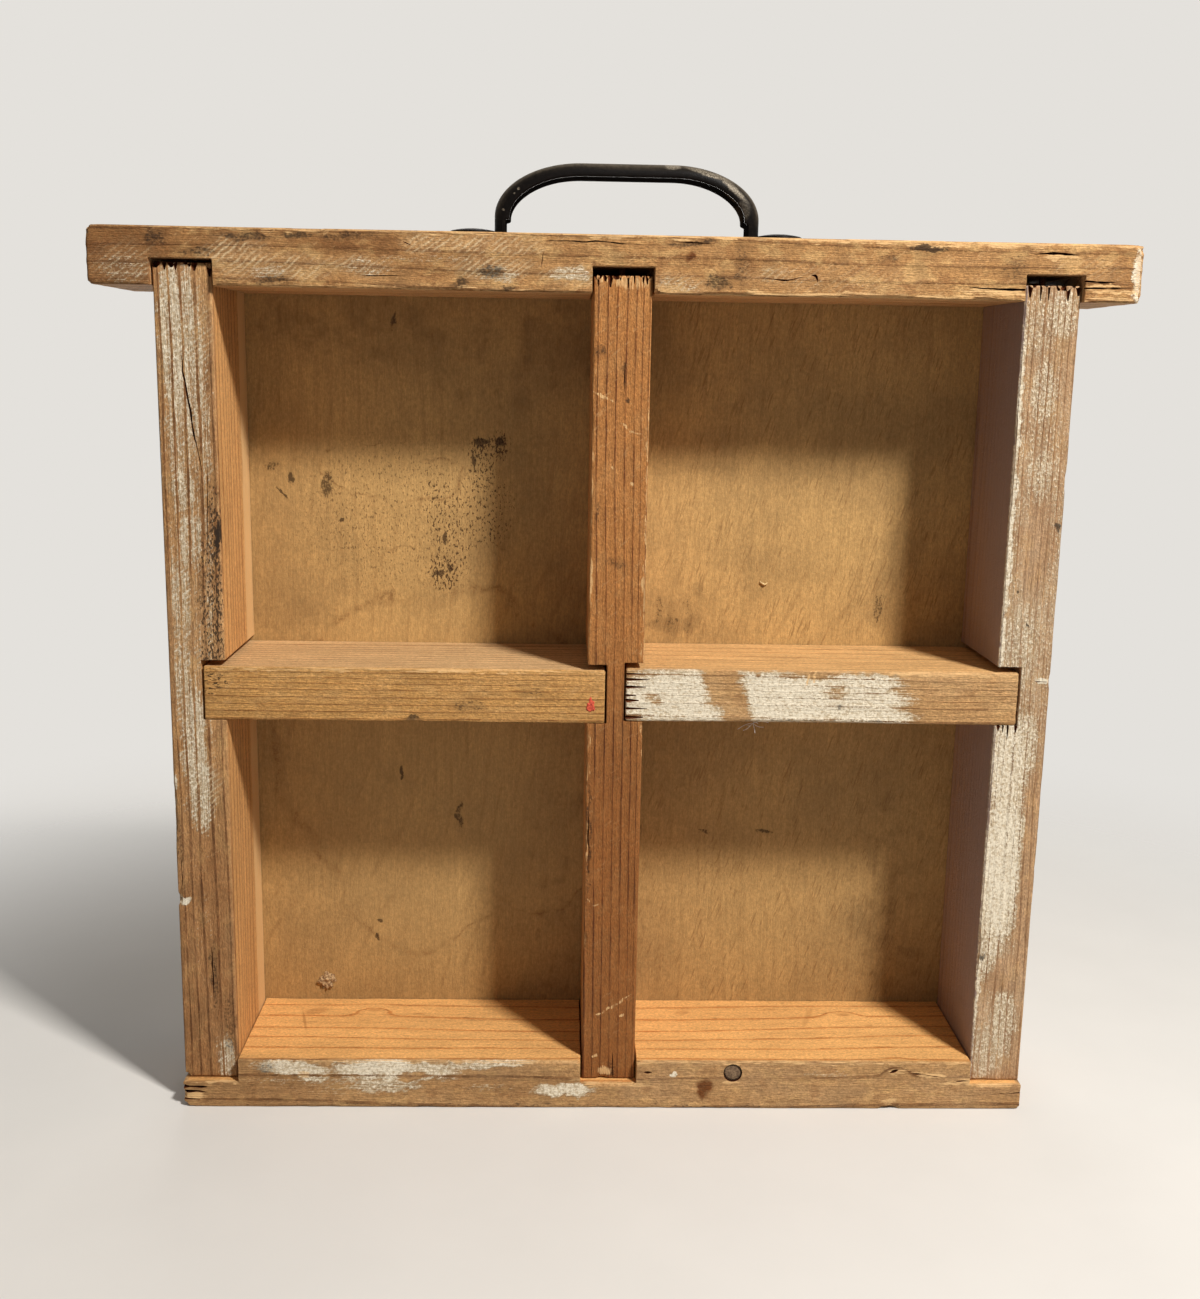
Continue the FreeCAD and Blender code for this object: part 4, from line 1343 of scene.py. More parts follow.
BOTTOM_LOOK = PLAIN_LOOK._replace(
    early=srgb(232, 176, 108), late=srgb(192, 122, 62),
    old_early=srgb(184, 142, 94), old_late=srgb(120, 82, 48), grey=srgb(166, 132, 94), grime=0.3,
    line=0.12, streaks=0.7, mottle=0.35,
    paint=(
        (-110, 14.6, 14, 3.8, -8, 0.78), (-103, 12.2, 7, 2.6, 0, 0.64), (-80, 14.4, 18, 4.4, 0, 0.92),
        (-64, 13.6, 13, 4.6, 0, 0.72), (-76, 9.0, 17, 3.4, 4, 0.6), (-44, 16.6, 20, 1.8, 4, 0.66),
        (-14.4, 6.9, 11, 2.6, 0, 0.85), (24.1, 13.3, 1.3, 1.0, 0, 1.3), (-40, 7.6, 12, 1.8, 0, 0.35),
        (80, 12.6, 12, 1.6, 0, 0.3), (-90, 12, 36, 7, 0, 0.36),
    ),
    bare=((-69, 12.0, 5.2, 1.6, 8, 0.7), (-60, 9.2, 7, 1.4, 0, 0.4)), paint_mix=(0.55, 0.4, 0.15, 0.5),
    fresh=(
        (1.9, 10.3, 12, 1.5, 0, 0.75), (140, 10.0, 10, 1.2, 0, 0.65), (-139, 10.2, 11, 1.0, 0, 0.6),
        (-145.5, 4.6, 3.4, 1.8, 0, 0.9), (-107, 12.4, 2.2, 1.3, 10, 0.6), (104, 14.5, 2.8, 1.2, 20, 0.6),
        (116, 13.2, 6, 1.0, -10, 0.7), (126, 10.4, 7, 0.9, 8, 0.6), (102, 3.2, 3, 1.2, 0, 0.7),
        (60, 17.6, 70, 0.7, 0, 0.4), (-60, 17.6, 70, 0.7, 0, 0.4), (12, 8.6, 6, 0.9, 0, 0.4),
        (44.6, 10.1, 2.8, 0.9, -8, 1.3),
    ),
    stains=((35.5, 8.8, 2.6, 3.0, 0, 1.4), (34.8, 5.9, 1.9, 2.0, 0, 1.2), (-125, 8, 26, 9, 0, 0.34),
            (103.6, 15.2, 2.2, 1.4, 0, 0.6), (144, 5, 10, 5, 0, 0.25), (-36, 8, 30, 5, 0, 0.25)),
    top_spots=(18.0, (
        (-109, 12, 4.5, 2.6, 25, 0.5), (-112, 4, 0.5, 8, 14, 0.55), (-87, 13, 2.6, 1.2, 0, 0.5),
        (-70, 10, 2.4, 0.5, 0, 0.6), (-52, 7, 1.2, 0.5, 0, 0.6), (30, 12, 3, 2, 30, 0.4),
        (92, 11, 2.4, 1.4, 0, 0.5), (64, 15, 4, 1, 10, 0.3), (78, 9, 1.0, 9, -20, 0.3),
        (100, 2, 1.4, 0.8, 0, 0.4),
    )),
    smudges=((0, 0.8, 150, 0.9, 0, 0.35), (-146, 10.8, 3, 0.9, 0, 0.7), (-120, 14.6, 4.5, 2.2, 0, 0.42)),
)
HOLE = (45.3, BOTTOM_Y, 13.7)  # an old hole in the front edge of the bottom board
HOLE_R = 3.3


def bottom_chips():
    """Chipped edges of the bottom board."""
    left, right, top = bottom_low[0], bottom_high[0], bottom_high[2]
    floor = uprights["left"][0][2]
    return [
        Chip((right, BOTTOM_Y, 0), (2.6, 5, 1.8), 0.9),
        Chip((left, BOTTOM_Y, 0), (3, 6, 3), 1.8),
        Chip((left, BOTTOM_Y, 4.6), (4, 4, 2.0), 1.8),
        Chip((102.3, BOTTOM_Y, 0), (4.5, 4, 2.2), 2.0),
        Chip((1.9, BOTTOM_Y, floor), (11.5, 4, 2.0), 1.9),
        Chip((140, BOTTOM_Y, floor), (12, 4, 1.6), 1.3),
        Chip((-20, BOTTOM_Y, top), (60, 3, 1.6), 1.2),
    ]


def bottom_splits():
    """Splits in the front of the bottom board, most of them at its left end."""
    left, right = bottom_low[0], bottom_high[0]
    return [
        *cracks(
            BOTTOM_Y,
            (1.6, 2.6, 11, (left - 1, 8.0), (-144, 7.8), (-140.5, 7.4)),
            (1.5, 2.4, 12, (left - 1, 6.0), (-144, 6.0), (-141, 5.4)),
            (1.3, 2.2, 13, (left - 1, 3.2), (-143.5, 3.0)),
            open_start=True,
        ),
        *cracks(
            BOTTOM_Y,
            (0.8, 0.9, 14, (109, 13.9), (114, 13.4), (121, 12.0)),
            (1.2, 1.2, 18, (101.5, 14.0), (104.5, 15.3)),
            (0.5, 0.7, 19, (123, 10.4), (131, 10.9)),
        ),
        *cracks(BOTTOM_Y, (0.7, 1.8, 15, (right + 1, 6.4), (144, 6.0), (139, 6.3)), open_start=True),
        *cracks(BOTTOM_Y, (1.2, 1.4, 20, (13.4, 13.8), (16.5, 13.6))),
    ]


def bottom_board():
    """The board that the caddy stands on, with old paint and a stopped hole in its front edge."""
    notches = []
    for low, high in uprights.values():
        foot = (low[0] - HOUSING_PLAY, low[2])
        notches.append(past_depth(foot, (high[0] + HOUSING_PLAY, bottom_high[2] + MOUTH)))
    knots = (
        ((-87, 13, 18), (7, 4, 5), -5.0), ((91, 11, 18), (6, 4, 5), -4.0), ((104, -27, 15), (5, 6, 3), -3.0),
    )
    faces = [(1, BOTTOM_Y), (2, 0.0), (0, bottom_low[0]), (0, bottom_high[0])]
    grain = Grain(axis=0, heart=(-62, -34), ring_gap=5.8, waver=3.2, seed=21, knots=knots)
    box, chips = (bottom_low, bottom_high), bottom_chips()
    board = Board(box, notches, grain, wear=0.5, relief=0.1, chips=chips, faces=faces)
    hole = [(HOLE_R + 0.3, -CUT_LIFT), (HOLE_R, 0.3), (HOLE_R - 0.1, 2.6), (HOLE_R - 0.9, 3.0)]
    cutters = [turned(hole, HOLE, BACK, sides=28)] + bottom_splits()
    cutters += nail_holes(*(f"{side}_bottom_nails" for side in SIDES), "bottom_brads")
    finish = wood("weathered_bottom_pine", BOTTOM_LOOK, BOTTOM_Y)
    make_board("bottom_board", board, LYING, finish, cutters)


def shelf_housings(side):
    """The housings that a standing board has for its shelves."""
    notches = []
    for shelf_side, (low, high) in shelves.items():
        if side not in (shelf_side, "centre"):
            continue
        notches.append(past_depth(
            (low[0] - SHELF_END_PLAY, low[2]), (high[0] + SHELF_END_PLAY, high[2] + SHELF_ROOF_PLAY),
        ))
    return notches


def torn_top(side, length, count, seed):
    """Torn fibres at the upper end of a standing board."""
    low, high = uprights[side]
    start = (low[0] + 1.4, FRONT_Y, high[2])
    end = (high[0] - 1.4, FRONT_Y, high[2])
    gaps = torn_row(SPLINTERS, start, end, DOWN, length, count, depth=3.0, seed=seed)
    return [gaps, torn_row(SPLINTERS, start, end, DOWN, 0.4 * length, count - 2, 1.2, 3.6, seed + 5)]


LEFT_LOOK = PLAIN_LOOK._replace(
    axis=2, early=srgb(210, 158, 100), late=srgb(150, 92, 48),
    old_early=srgb(194, 146, 96), old_late=srgb(114, 74, 42), grey=srgb(184, 144, 100), grime=0.28,
    line=0.17, streaks=0.9, mottle=0.3,
    paint=(
        (-143, 266, 6, 30, 0, 0.66), (-139, 260, 6, 36, 0, 0.62), (-135, 250, 3.6, 40, 0, 0.48),
        (-142, 234, 6, 20, 0, 0.54), (-142, 218, 5, 10, 0, 0.6), (-140.4, 201, 5.4, 12, 0, 0.58),
        (-144, 180, 4, 22, 0, 0.56), (-144.5, 152, 3.4, 22, 0, 0.58), (-142, 132, 5, 26, 0, 0.66),
        (-140, 115, 5.6, 16, 0, 0.64), (-134.7, 17, 4, 10, 0, 0.62), (-147.6, 76, 2.8, 1.3, 8, 1.3),
        (-140, 200, 10, 110, 0, 0.38),
        (-149, 118, 1.2, 3, 0, 0.9), (-149, 111, 1.2, 2, 0, 0.9), (-140, 60, 5, 30, 0, 0.22),
    ),
    paint_mix=(0.5, 0.4, 0.15, 0.6), hatches=((-138.5, 117, 5, 9, 0, 0.8), (-136, 268, 5, 10, 0, 0.6)),
    specks=(
        (-132.4, 186, 2.2, 30, 0, 0.5), (-134.2, 180, 4.2, 26, 0, 0.34), (-131.4, 203, 0.9, 7, 0, 0.9),
        (-134.5, 163, 4, 4, 0, 0.5),
    ),
    stains=((-140, 44, 14, 66, 0, 0.52), (-132.4, 225, 2.6, 60, 0, 0.3), (-148.6, 190, 1.4, 60, 0, 0.3)),
    smudges=((-131.2, 203, 0.7, 6, 0, 0.9), (-138, 48, 1.4, 14, 0, 0.5), (-148.4, 100, 1.4, 10, 0, 0.45),
             (-133, 30, 2.4, 14, 0, 0.4)),
    pale_back=(10.8, uprights["left"][1][0]),
    outer_coat=(uprights["left"][0][0], (
        (-15, 236, 12, 50, 0, 0.5), (8, 168, 18, 60, 0, 0.4), (-14, 70, 12, 44, 0, 0.48),
        (14, 262, 9, 22, 0, 0.5), (10, 40, 12, 20, 0, 0.44),
    )),
)


def left_upright():
    """Left side: paint left in the grain, a long diagonal crack and mildew above the shelf."""
    low, high = uprights["left"]
    chips = [
        Chip((low[0], FRONT_Y, 76), (3.4, 4, 2.0), 2.4),
        Chip((low[0], FRONT_Y, 108), (1.5, 3, 16), 1.3),
        Chip((high[0], FRONT_Y, 214), (1.4, 3, 8), 1.3),
        Chip((low[0], FRONT_Y, low[2]), (3, 4, 3), 1.8),
    ]
    faces = [(1, FRONT_Y), (0, low[0])]
    grain = Grain(axis=2, heart=(-190, 32), ring_gap=2.3, waver=1.3, seed=31)
    notches = shelf_housings("left")
    board = Board((low, high), notches, grain, wear=0.6, relief=0.12, chips=chips, faces=faces)
    cutters = [
        *cracks(
            FRONT_Y,
            (0.9, 2.2, 22, (-141.2, 262), (-139.6, 247), (-135.8, 223.2)),
            (0.5, 1.2, 23, (-135.2, 190), (-134.4, 214), (-134.0, 228)),
            (0.4, 0.9, 24, (-147.5, 96), (-147.9, 74)),
            (0.7, 1.0, 25, (-138.5, 60), (-138.2, 38)),
        ),
        *torn_top("left", 6.0, 6, 26),
    ]
    cutters += nail_holes("left_top_nails", "left_bottom_nails", "left_shelf_nails", "left_brads")
    finish = wood("left_side_pine", LEFT_LOOK, FRONT_Y)
    make_board("left_upright", board, STANDING, finish, cutters)


CENTRE_LOOK = PLAIN_LOOK._replace(
    axis=2, early=srgb(200, 146, 92), late=srgb(156, 94, 50),
    old_early=srgb(178, 120, 66), old_late=srgb(92, 44, 18), grey=srgb(168, 112, 60), grime=0.12,
    line=0.17, streaks=0.4, mottle=0.1,
    fresh=((3.4, 286.6, 6, 2.2, 0, 0.5), (-5, 287.6, 4, 1.2, 0, 0.45), (10.1, 190, 0.6, 60, 0, 0.4),
           (-4.4, 250, 0.45, 3.6, 62, 0.6), (4.2, 240, 0.4, 4, 66, 0.5), (-1.6, 227.4, 0.4, 0.9, 30, 0.9),
           (5.2, 222, 0.35, 0.6, 0, 0.9), (3, 38, 0.4, 7, -52, 0.42), (-5, 76, 0.4, 2.2, 60, 0.5),
           (-4.4, 18.7, 0.8, 0.5, 0, 0.9), (5.5, 34.4, 0.9, 0.5, 0, 0.9), (-2.8, 34.2, 1.1, 0.5, 10, 0.9),
           (-8.4, 170, 0.6, 90, 0, 0.3), (-0.4, 12.4, 2.4, 1.6, 0, 0.9)),
    # This mark darkens the lower part of the board, from a little above the shelves downwards.
    stains=((1, 60, 16, 100, 0, 0.62),),
    smudges=((-6.4, 264.5, 2.6, 2.2, 0, 0.5), (2.4, 249, 0.8, 1.0, 0, 0.85), (0.6, 195.6, 3.6, 2, -24, 0.42),
             (-5.8, 213, 0.6, 5, 0, 0.5), (1.8, 258, 0.5, 5, 0, 0.5), (2.4, 12, 0.8, 5, 0, 0.5),
             (-7.4, 100, 0.7, 26, 0, 0.5)),
)


def centre_upright():
    """The clean brown board between the compartments."""
    low, high = uprights["centre"]
    chips = [
        Chip((-1.3, FRONT_Y, low[2]), (2.4, 4, 4), 1.6),
        Chip((low[0], FRONT_Y, 63), (1.6, 3, 4), 1.4),
        Chip((high[0], FRONT_Y, 139), (1.6, 3, 3), 1.5),
        Chip((low[0], FRONT_Y, 101), (1.4, 3, 8), 1.2),
    ]
    faces = [(1, FRONT_Y)]
    grain = Grain(axis=2, heart=(-62, -62), ring_gap=2.6, waver=1.1, seed=41)
    notches = shelf_housings("centre")
    board = Board((low, high), notches, grain, wear=0.5, relief=0.07, chips=chips, faces=faces)
    cutters = [
        *torn_top("centre", 5.0, 8, 42),
        *cracks(
            FRONT_Y,
            (0.6, 0.9, 43, (-7.2, 118), (-7.5, 98), (-7.0, 84)),
            (0.5, 0.9, 44, (2.3, 20), (2.5, 9)),
            (0.4, 0.7, 45, (2.2, 262), (1.6, 250)),
        ),
    ]
    cutters += nail_holes("centre_top_nails", "centre_bottom_nails", "centre_brads")
    finish = wood("centre_pine", CENTRE_LOOK, FRONT_Y)
    make_board("centre_upright", board, STANDING, finish, cutters)


RIGHT_LOOK = PLAIN_LOOK._replace(
    axis=2, early=srgb(184, 146, 114), late=srgb(150, 106, 74),
    old_early=srgb(188, 150, 112), old_late=srgb(148, 110, 76), grey=srgb(188, 160, 128), grime=0.16,
    streaks=1.1, mottle=0.2,
    paint=(
        (144, 279, 6, 10, 0, 0.56), (137, 276, 7, 14, 0, 0.5), (139.5, 254, 5, 14, 0, 0.58),
        (140.5, 226, 5, 13, 0, 0.56), (137, 128, 8, 22, 0, 0.82), (142, 132, 7, 18, 0, 0.66),
        (137.5, 90, 8, 34, 0, 0.94), (135, 62, 5, 16, 0, 0.7), (142, 32, 6, 18, 0, 0.6),
        (136, 20, 7, 14, 0, 0.54), (132.0, 200, 1.5, 92, 0, 0.8), (132.0, 75, 1.3, 60, 0, 0.7),
        (146.5, 157.2, 2.8, 0.9, 0, 1.3), (138, 168, 8, 20, 0, 0.56), (140, 150, 14, 160, 0, 0.43),
    ),
    paint_mix=(0.3, 0.7, 0.0, 0.3),
    bare=((142, 50, 6, 6, 20, 0.45), (141, 202, 5, 16, 0, 0.22), (147, 90, 3, 40, 0, 0.3)),
    stains=((141, 240, 8, 8, 0, 0.16), (142, 203, 7, 20, 0, 0.18), (139, 48, 7, 7, 0, 0.2)),
    smudges=((147.6, 210, 0.7, 1.6, 0, 0.8), (133, 57, 1.0, 1.2, 0, 0.8), (136, 188, 0.5, 0.8, 0, 0.9),
             (140, 176, 0.4, 1.0, 0, 0.8)),
    inner_coat=uprights["right"][0][0],
    outer_coat=(uprights["right"][1][0], (
        (-14, 214, 14, 60, 0, 0.56), (9, 120, 15, 66, 0, 0.46), (-12, 50, 13, 38, 0, 0.56),
        (12, 252, 11, 28, 0, 0.52), (-2, 160, 24, 130, 0, 0.38),
    )),
)


def right_upright():
    """Right side, whitewashed in patches."""
    low, high = uprights["right"]
    dado = shelves["right"][0][2]
    chips = [
        Chip((low[0], FRONT_Y, 60), (1.4, 3, 12), 1.4),
        Chip((low[0], FRONT_Y, 230), (1.2, 3, 30), 1.0),
        Chip((high[0], FRONT_Y, 157), (3, 3, 1.2), 1.2),
        Chip((high[0], FRONT_Y, 225), (1.2, 3, 6), 1.2),
    ]
    faces = [(1, FRONT_Y), (0, high[0])]
    grain = Grain(axis=2, heart=(188, 26), ring_gap=1.5, waver=1.0, seed=51)
    notches = shelf_housings("right")
    board = Board((low, high), notches, grain, wear=0.6, relief=0.1, chips=chips, faces=faces)
    cutters = [
        *torn_top("right", 6.5, 6, 52),
        torn_row(SPLINTERS, (low[0] + 1.2, FRONT_Y, dado), (138.4, FRONT_Y, dado), DOWN, 8.0, 4, seed=53),
        *cracks(FRONT_Y, (0.8, 0.5, 54, (143.6, 157.2), (149.6, 157.0))),
    ]
    cutters += nail_holes("right_top_nails", "right_bottom_nails", "right_shelf_nails", "right_brads")
    finish = wood("right_side_pine", RIGHT_LOOK, FRONT_Y)
    make_board("right_upright", board, STANDING, finish, cutters)


LEFT_SHELF_LOOK = PLAIN_LOOK._replace(
    early=srgb(208, 170, 122), late=srgb(146, 104, 64),
    old_early=srgb(198, 148, 86), old_late=srgb(140, 92, 46), grey=srgb(190, 144, 88), grime=0.15,
    line=0.16, streaks=0.8, mottle=0.2,
    specks=((-135, 154.4, 5, 3.2, 0, 0.34), (-136, 151, 3, 1.6, 0, 0.3)),
    smudges=(
        (-49.2, 146.2, 6, 2.6, 0, 0.42), (-27.2, 151.4, 5, 1.6, 0, 0.42), (-67.8, 141.7, 2.6, 1.2, 30, 0.85),
    ),
    fresh=((-70, 158.6, 66, 0.9, 0, 0.5),),
)


def left_shelf():
    """Left shelf, clean tan with a few dark marks."""
    low, high = shelves["left"]
    chips = [
        Chip((-67.8, FRONT_Y, low[2]), (4, 3, 2), 1.7),
        Chip((-50, FRONT_Y, high[2]), (30, 3, 1.4), 1.0),
    ]
    grain = Grain(axis=0, heart=(34, 86), ring_gap=1.55, waver=0.9, seed=61)
    board = Board((low, high), (), grain, wear=0.5, relief=0.06, chips=chips, faces=[(1, FRONT_Y)])
    finish = wood("left_shelf_pine", LEFT_SHELF_LOOK, FRONT_Y)
    cutters = nail_holes("left_shelf_nails", "left_shelf_brads")
    make_board("left_shelf", board, LYING, finish, cutters)


RIGHT_SHELF_LOOK = PLAIN_LOOK._replace(
    early=srgb(212, 168, 112), late=srgb(178, 130, 80),
    old_early=srgb(192, 148, 98), old_late=srgb(128, 90, 54), grey=srgb(188, 152, 108), grime=0.12,
    line=0.16, mottle=0.2,
    paint=((44, 149.4, 50, 11.5, 0, 1.05), (84, 155.5, 16, 4.6, 0, 0.9), (86, 149.5, 17, 4.6, 0, 0.95),
           (88, 143.5, 17, 4.2, 0, 0.95), (20, 150, 20, 10, 0, 1.0)),
    paint_mix=(0.5, 0.5, 0.0, 0.45),
    bare=((37.6, 153.5, 6.4, 10, 20, 0.85), (41.6, 146.5, 5.2, 8, 20, 0.8), (70, 160.2, 34, 2.2, 0, 0.36),
          (14, 149.5, 3.4, 1.6, -30, 0.5), (76, 152.5, 4, 2, 10, 0.42)),
    smudges=((54, 141.8, 50, 0.7, 0, 0.5), (78, 147.6, 1.2, 1.0, 0, 0.6)),
    fresh=((66.4, 157, 0.5, 3, -24, 0.9), (69, 158, 0.5, 2.4, -10, 0.9), (110, 159, 26, 0.9, 0, 0.5)),
    top_spots=(159.8, ((57, 12, 2.0, 0.5, 0, 0.7), (66, -2, 0.5, 4, -30, 0.3), (100, 4, 6, 1.4, 0, 0.2))),
)


def right_shelf():
    """Right shelf: thick old whitewash with a bare band and a bare end."""
    low, high = shelves["right"]
    chips = [
        Chip((60, FRONT_Y, low[2]), (60, 3, 1.6), 1.1),
        Chip((110, FRONT_Y, high[2]), (30, 3, 1.6), 1.0),
    ]
    grain = Grain(axis=0, heart=(30, 96), ring_gap=2.3, waver=1.0, seed=71)
    board = Board((low, high), (), grain, wear=0.6, relief=0.12, chips=chips, faces=[(1, FRONT_Y)])
    start = (low[0], FRONT_Y, low[2] + 1.6)
    end = (low[0], FRONT_Y, high[2] - 1.2)
    cutters = [torn_row(SPLINTERS, start, end, RIGHT, 10.0, 7, seed=72)]
    cutters += nail_holes("right_shelf_nails", "right_shelf_brads")
    finish = wood("right_shelf_pine", RIGHT_SHELF_LOOK, FRONT_Y)
    make_board("right_shelf", board, LYING, finish, cutters)


def back_panel():
    """The plywood sheet behind the boards."""
    chips = [
        Chip((panel_low[0], panel_high[1], panel_high[2]), (6, 4, 5), 2.2),
        Chip((panel_high[0], panel_high[1], 120), (3, 3, 9), 1.6),
        Chip((-40, panel_high[1], panel_low[2]), (12, 3, 3), 1.6),
    ]
    faces = [(1, panel_low[1]), (1, panel_high[1])]
    board = Board((panel_low, panel_high), (), None, wear=0.35, relief=0.0, chips=chips, faces=faces)
    points, quads = board_grid(board, PANEL_STEPS)
    mesh = new_mesh("panel", wear_board(points, board), quads)
    mesh.materials.append(plywood(panel_low[1]))
    mesh.materials.append(TORN)
    brads = [node for node in NAIL_GROUPS if node.endswith("_brads")]
    mesh = combined(mesh, nail_holes(*brads), "DIFFERENCE")
    places = mesh_points(mesh)
    add_value(mesh, "ring", veneer_phase(places))
    add_value(mesh, "weather", np.ones(len(places)))
    add_value(mesh, "deep", depth_below(places, board))
    place_piece(new_object("plywood_back", mesh), "back_panel")


def veneer_phase(points):
    """Growth lines that wander over a veneer peeled from the log."""
    sheet = points * (1, 0, 1)
    phase = points[:, 0] / 8.0 - points[:, 2] / 60.0
    phase = phase + 2.4 * drift(sheet, (66, 1, 108), 81)
    return phase + 0.55 * drift(sheet, (18, 1, 44), 82)


# The carry handle: a bow bent from sheet steel on two domed feet

HANDLE_LOW, HANDLE_HIGH = node_box("carry_handle")
HANDLE_MIDDLE = (HANDLE_LOW + HANDLE_HIGH) / 2
BOW_SPAN = 87.6
BOW_WIDTH = 14.0
BOW_FLAT = 30.0
SHOULDER_DROP = 17.5
BEND_R = 3.7
SHEET_T = 1.3
LIP_R = 0.45
TOP_SKIRT, SIDE_SKIRT, LEG_SKIRT = 4.5, 5.1, 3.0
SKIRT_STEP = (4.9, 5.7)     # heights between which the skirts narrow to the legs
FOOT_R = 8.0
FOOT_RISE = 2.9
FOOT_CROWN_R = 31.6
FOOT_RIM_R = 0.8
SCREW_HEAD_R = 3.9
SCREW_SHANK_R = 2.0
SCREW_LENGTH = 16.0
SCREW_TIP = 4.0
SCREW_SINK = 0.2


def half_bow():
    """Stations from the foot of one leg to the middle: X, Z, outward direction and skirt depth."""
    rise = HANDLE_HIGH[2] - HANDLE_LOW[2]
    spring, wide = rise - SHOULDER_DROP, (BOW_SPAN - BOW_FLAT) / 2
    stations = []
    for z in np.linspace(0, spring, 14)[:-1]:
        depth = LEG_SKIRT + (SIDE_SKIRT - LEG_SKIRT) * smooth(z, *SKIRT_STEP)
        stations.append((BOW_SPAN / 2, z, 1.0, 0.0, depth))
    for share in np.linspace(0, 1, 30):
        angle = share * math.pi / 2
        out = Vector((math.cos(angle) / wide, math.sin(angle) / SHOULDER_DROP)).normalized()
        depth = SIDE_SKIRT + (TOP_SKIRT - SIDE_SKIRT) * smooth(share, 0.1, 0.9)
        x = BOW_FLAT / 2 + wide * math.cos(angle)
        stations.append((x, spring + SHOULDER_DROP * math.sin(angle), *out, depth))
    for x in np.linspace(BOW_FLAT / 2, 0, 7)[1:]:
        stations.append((x, rise, 0.0, 1.0, TOP_SKIRT))
    return stations


def arc_points(middle, radius, start, end, count=6):
    """Points on an arc, with its angles in degrees."""
    angles = np.radians(np.linspace(start, end, count))
    return [(middle[0] + radius * math.cos(a), middle[1] + radius * math.sin(a)) for a in angles]


def channel_section(depth):
    """Half of the channel's section, from the outer face to the inner one: Y and distance inwards."""
    half, corner = BOW_WIDTH / 2, BOW_WIDTH / 2 - BEND_R
    outer = [(0.0, 0.0), (corner * 0.5, 0.0)] + arc_points((corner, BEND_R), BEND_R, -90, 0)
    lip = arc_points((half - LIP_R, depth - LIP_R), LIP_R, 0, 90, 4)
    lip += arc_points((half - SHEET_T + LIP_R, depth - LIP_R), LIP_R, 90, 180, 4)
    inner = arc_points((corner, BEND_R), BEND_R - SHEET_T, 0, -90, 4)
    return outer + lip + inner + [(corner * 0.5, SHEET_T), (0.0, SHEET_T)]


def bow_mesh():
    """The bow and its legs."""
    right = half_bow()
    left = [(-x, z, -out_x, out_z, depth) for x, z, out_x, out_z, depth in right[-2::-1]]
    points, rings = [], right + left
    for x, z, out_x, out_z, depth in rings:
        side = channel_section(depth)
        loop = side + [(-y, n) for y, n in side[-2:0:-1]]
        for y, n in loop:
            points.append((x - out_x * n, y, z - out_z * n))
    count = len(loop)
    points = np.array(points) + (HANDLE_MIDDLE[0], HANDLE_MIDDLE[1], HANDLE_LOW[2])
    return outward_mesh("bow", points, tube_faces(len(rings), count))


def foot_mesh(place, sides=56):
    """A domed cup with a countersunk hole."""
    def crown(radius, lift, curve):
        return lift - curve + math.sqrt(curve ** 2 - radius ** 2)

    hole = SCREW_HEAD_R + FIT_GAP
    inner_curve, inner_lift = FOOT_CROWN_R - SHEET_T, FOOT_RISE - SHEET_T
    flat_end = FOOT_R - FOOT_RIM_R
    loop = [(r, crown(r, FOOT_RISE, FOOT_CROWN_R)) for r in np.linspace(hole, flat_end, 7)]
    loop += arc_points((flat_end, loop[-1][1] - FOOT_RIM_R), FOOT_RIM_R, 80, 0, 5)
    loop += [(FOOT_R, 0.0), (FOOT_R - SHEET_T, 0.0)]
    inside = np.linspace(FOOT_R - SHEET_T, hole - SHEET_T, 6)
    loop += [(r, crown(r, inner_lift, inner_curve)) for r in inside]
    points = []
    for step in range(sides):
        angle = 2 * math.pi * step / sides
        spoke = np.array((math.cos(angle), math.sin(angle), 0))
        points += [place + r * spoke + (0, 0, z) for r, z in loop]
    return outward_mesh("foot", np.array(points), ring_faces(sides, len(loop), wrap=True))


def foot_places():
    """The middle of each foot, on the top board."""
    ends = (HANDLE_LOW[0] + FOOT_R, HANDLE_HIGH[0] - FOOT_R)
    return [np.array([x, HANDLE_MIDDLE[1], HANDLE_LOW[2]]) for x in ends]


def carry_handle():
    """Bow and feet in one stamping."""
    mesh = combined(bow_mesh(), [foot_mesh(place) for place in foot_places()], "UNION")
    mesh.materials.clear()
    mesh.materials.append(black_enamel())
    places = mesh_points(mesh)
    facing = np.array([vertex.normal for vertex in mesh.vertices])
    out = (places - HANDLE_MIDDLE) * (SHOULDER_DROP / BOW_SPAN * 2, 0, 1)
    out /= np.linalg.norm(out, axis=1)[:, None]
    on_bow = smooth(places[:, 2], HANDLE_LOW[2] + 3.0, HANDLE_LOW[2] + 12.0)
    upward = (facing * out).sum(axis=1)
    # Painted highlight and wear: a share that grows on faces of the bow turned upward and outward, which the
    # enamel paints lighter.
    add_value(mesh, "rub_and_sheen", on_bow * smooth(upward, 0.4, 0.85) * (1 - 0.7 * smooth(upward, 0.9, 0.99)))
    place_piece(new_object("handle_steel", mesh), "carry_handle")


# Nails, brads and screws

def ring_table(w, part, values):
    """One of several values, chosen by a whole number."""
    table = w.node("GeometryNodeIndexSwitch", {"Index": part}, data_type="FLOAT")
    while len(table.index_switch_items) < len(values):
        table.index_switch_items.new()
    for socket, value in zip(list(table.inputs)[1:], values):
        w.feed(socket, value)
    return table.outputs[0]


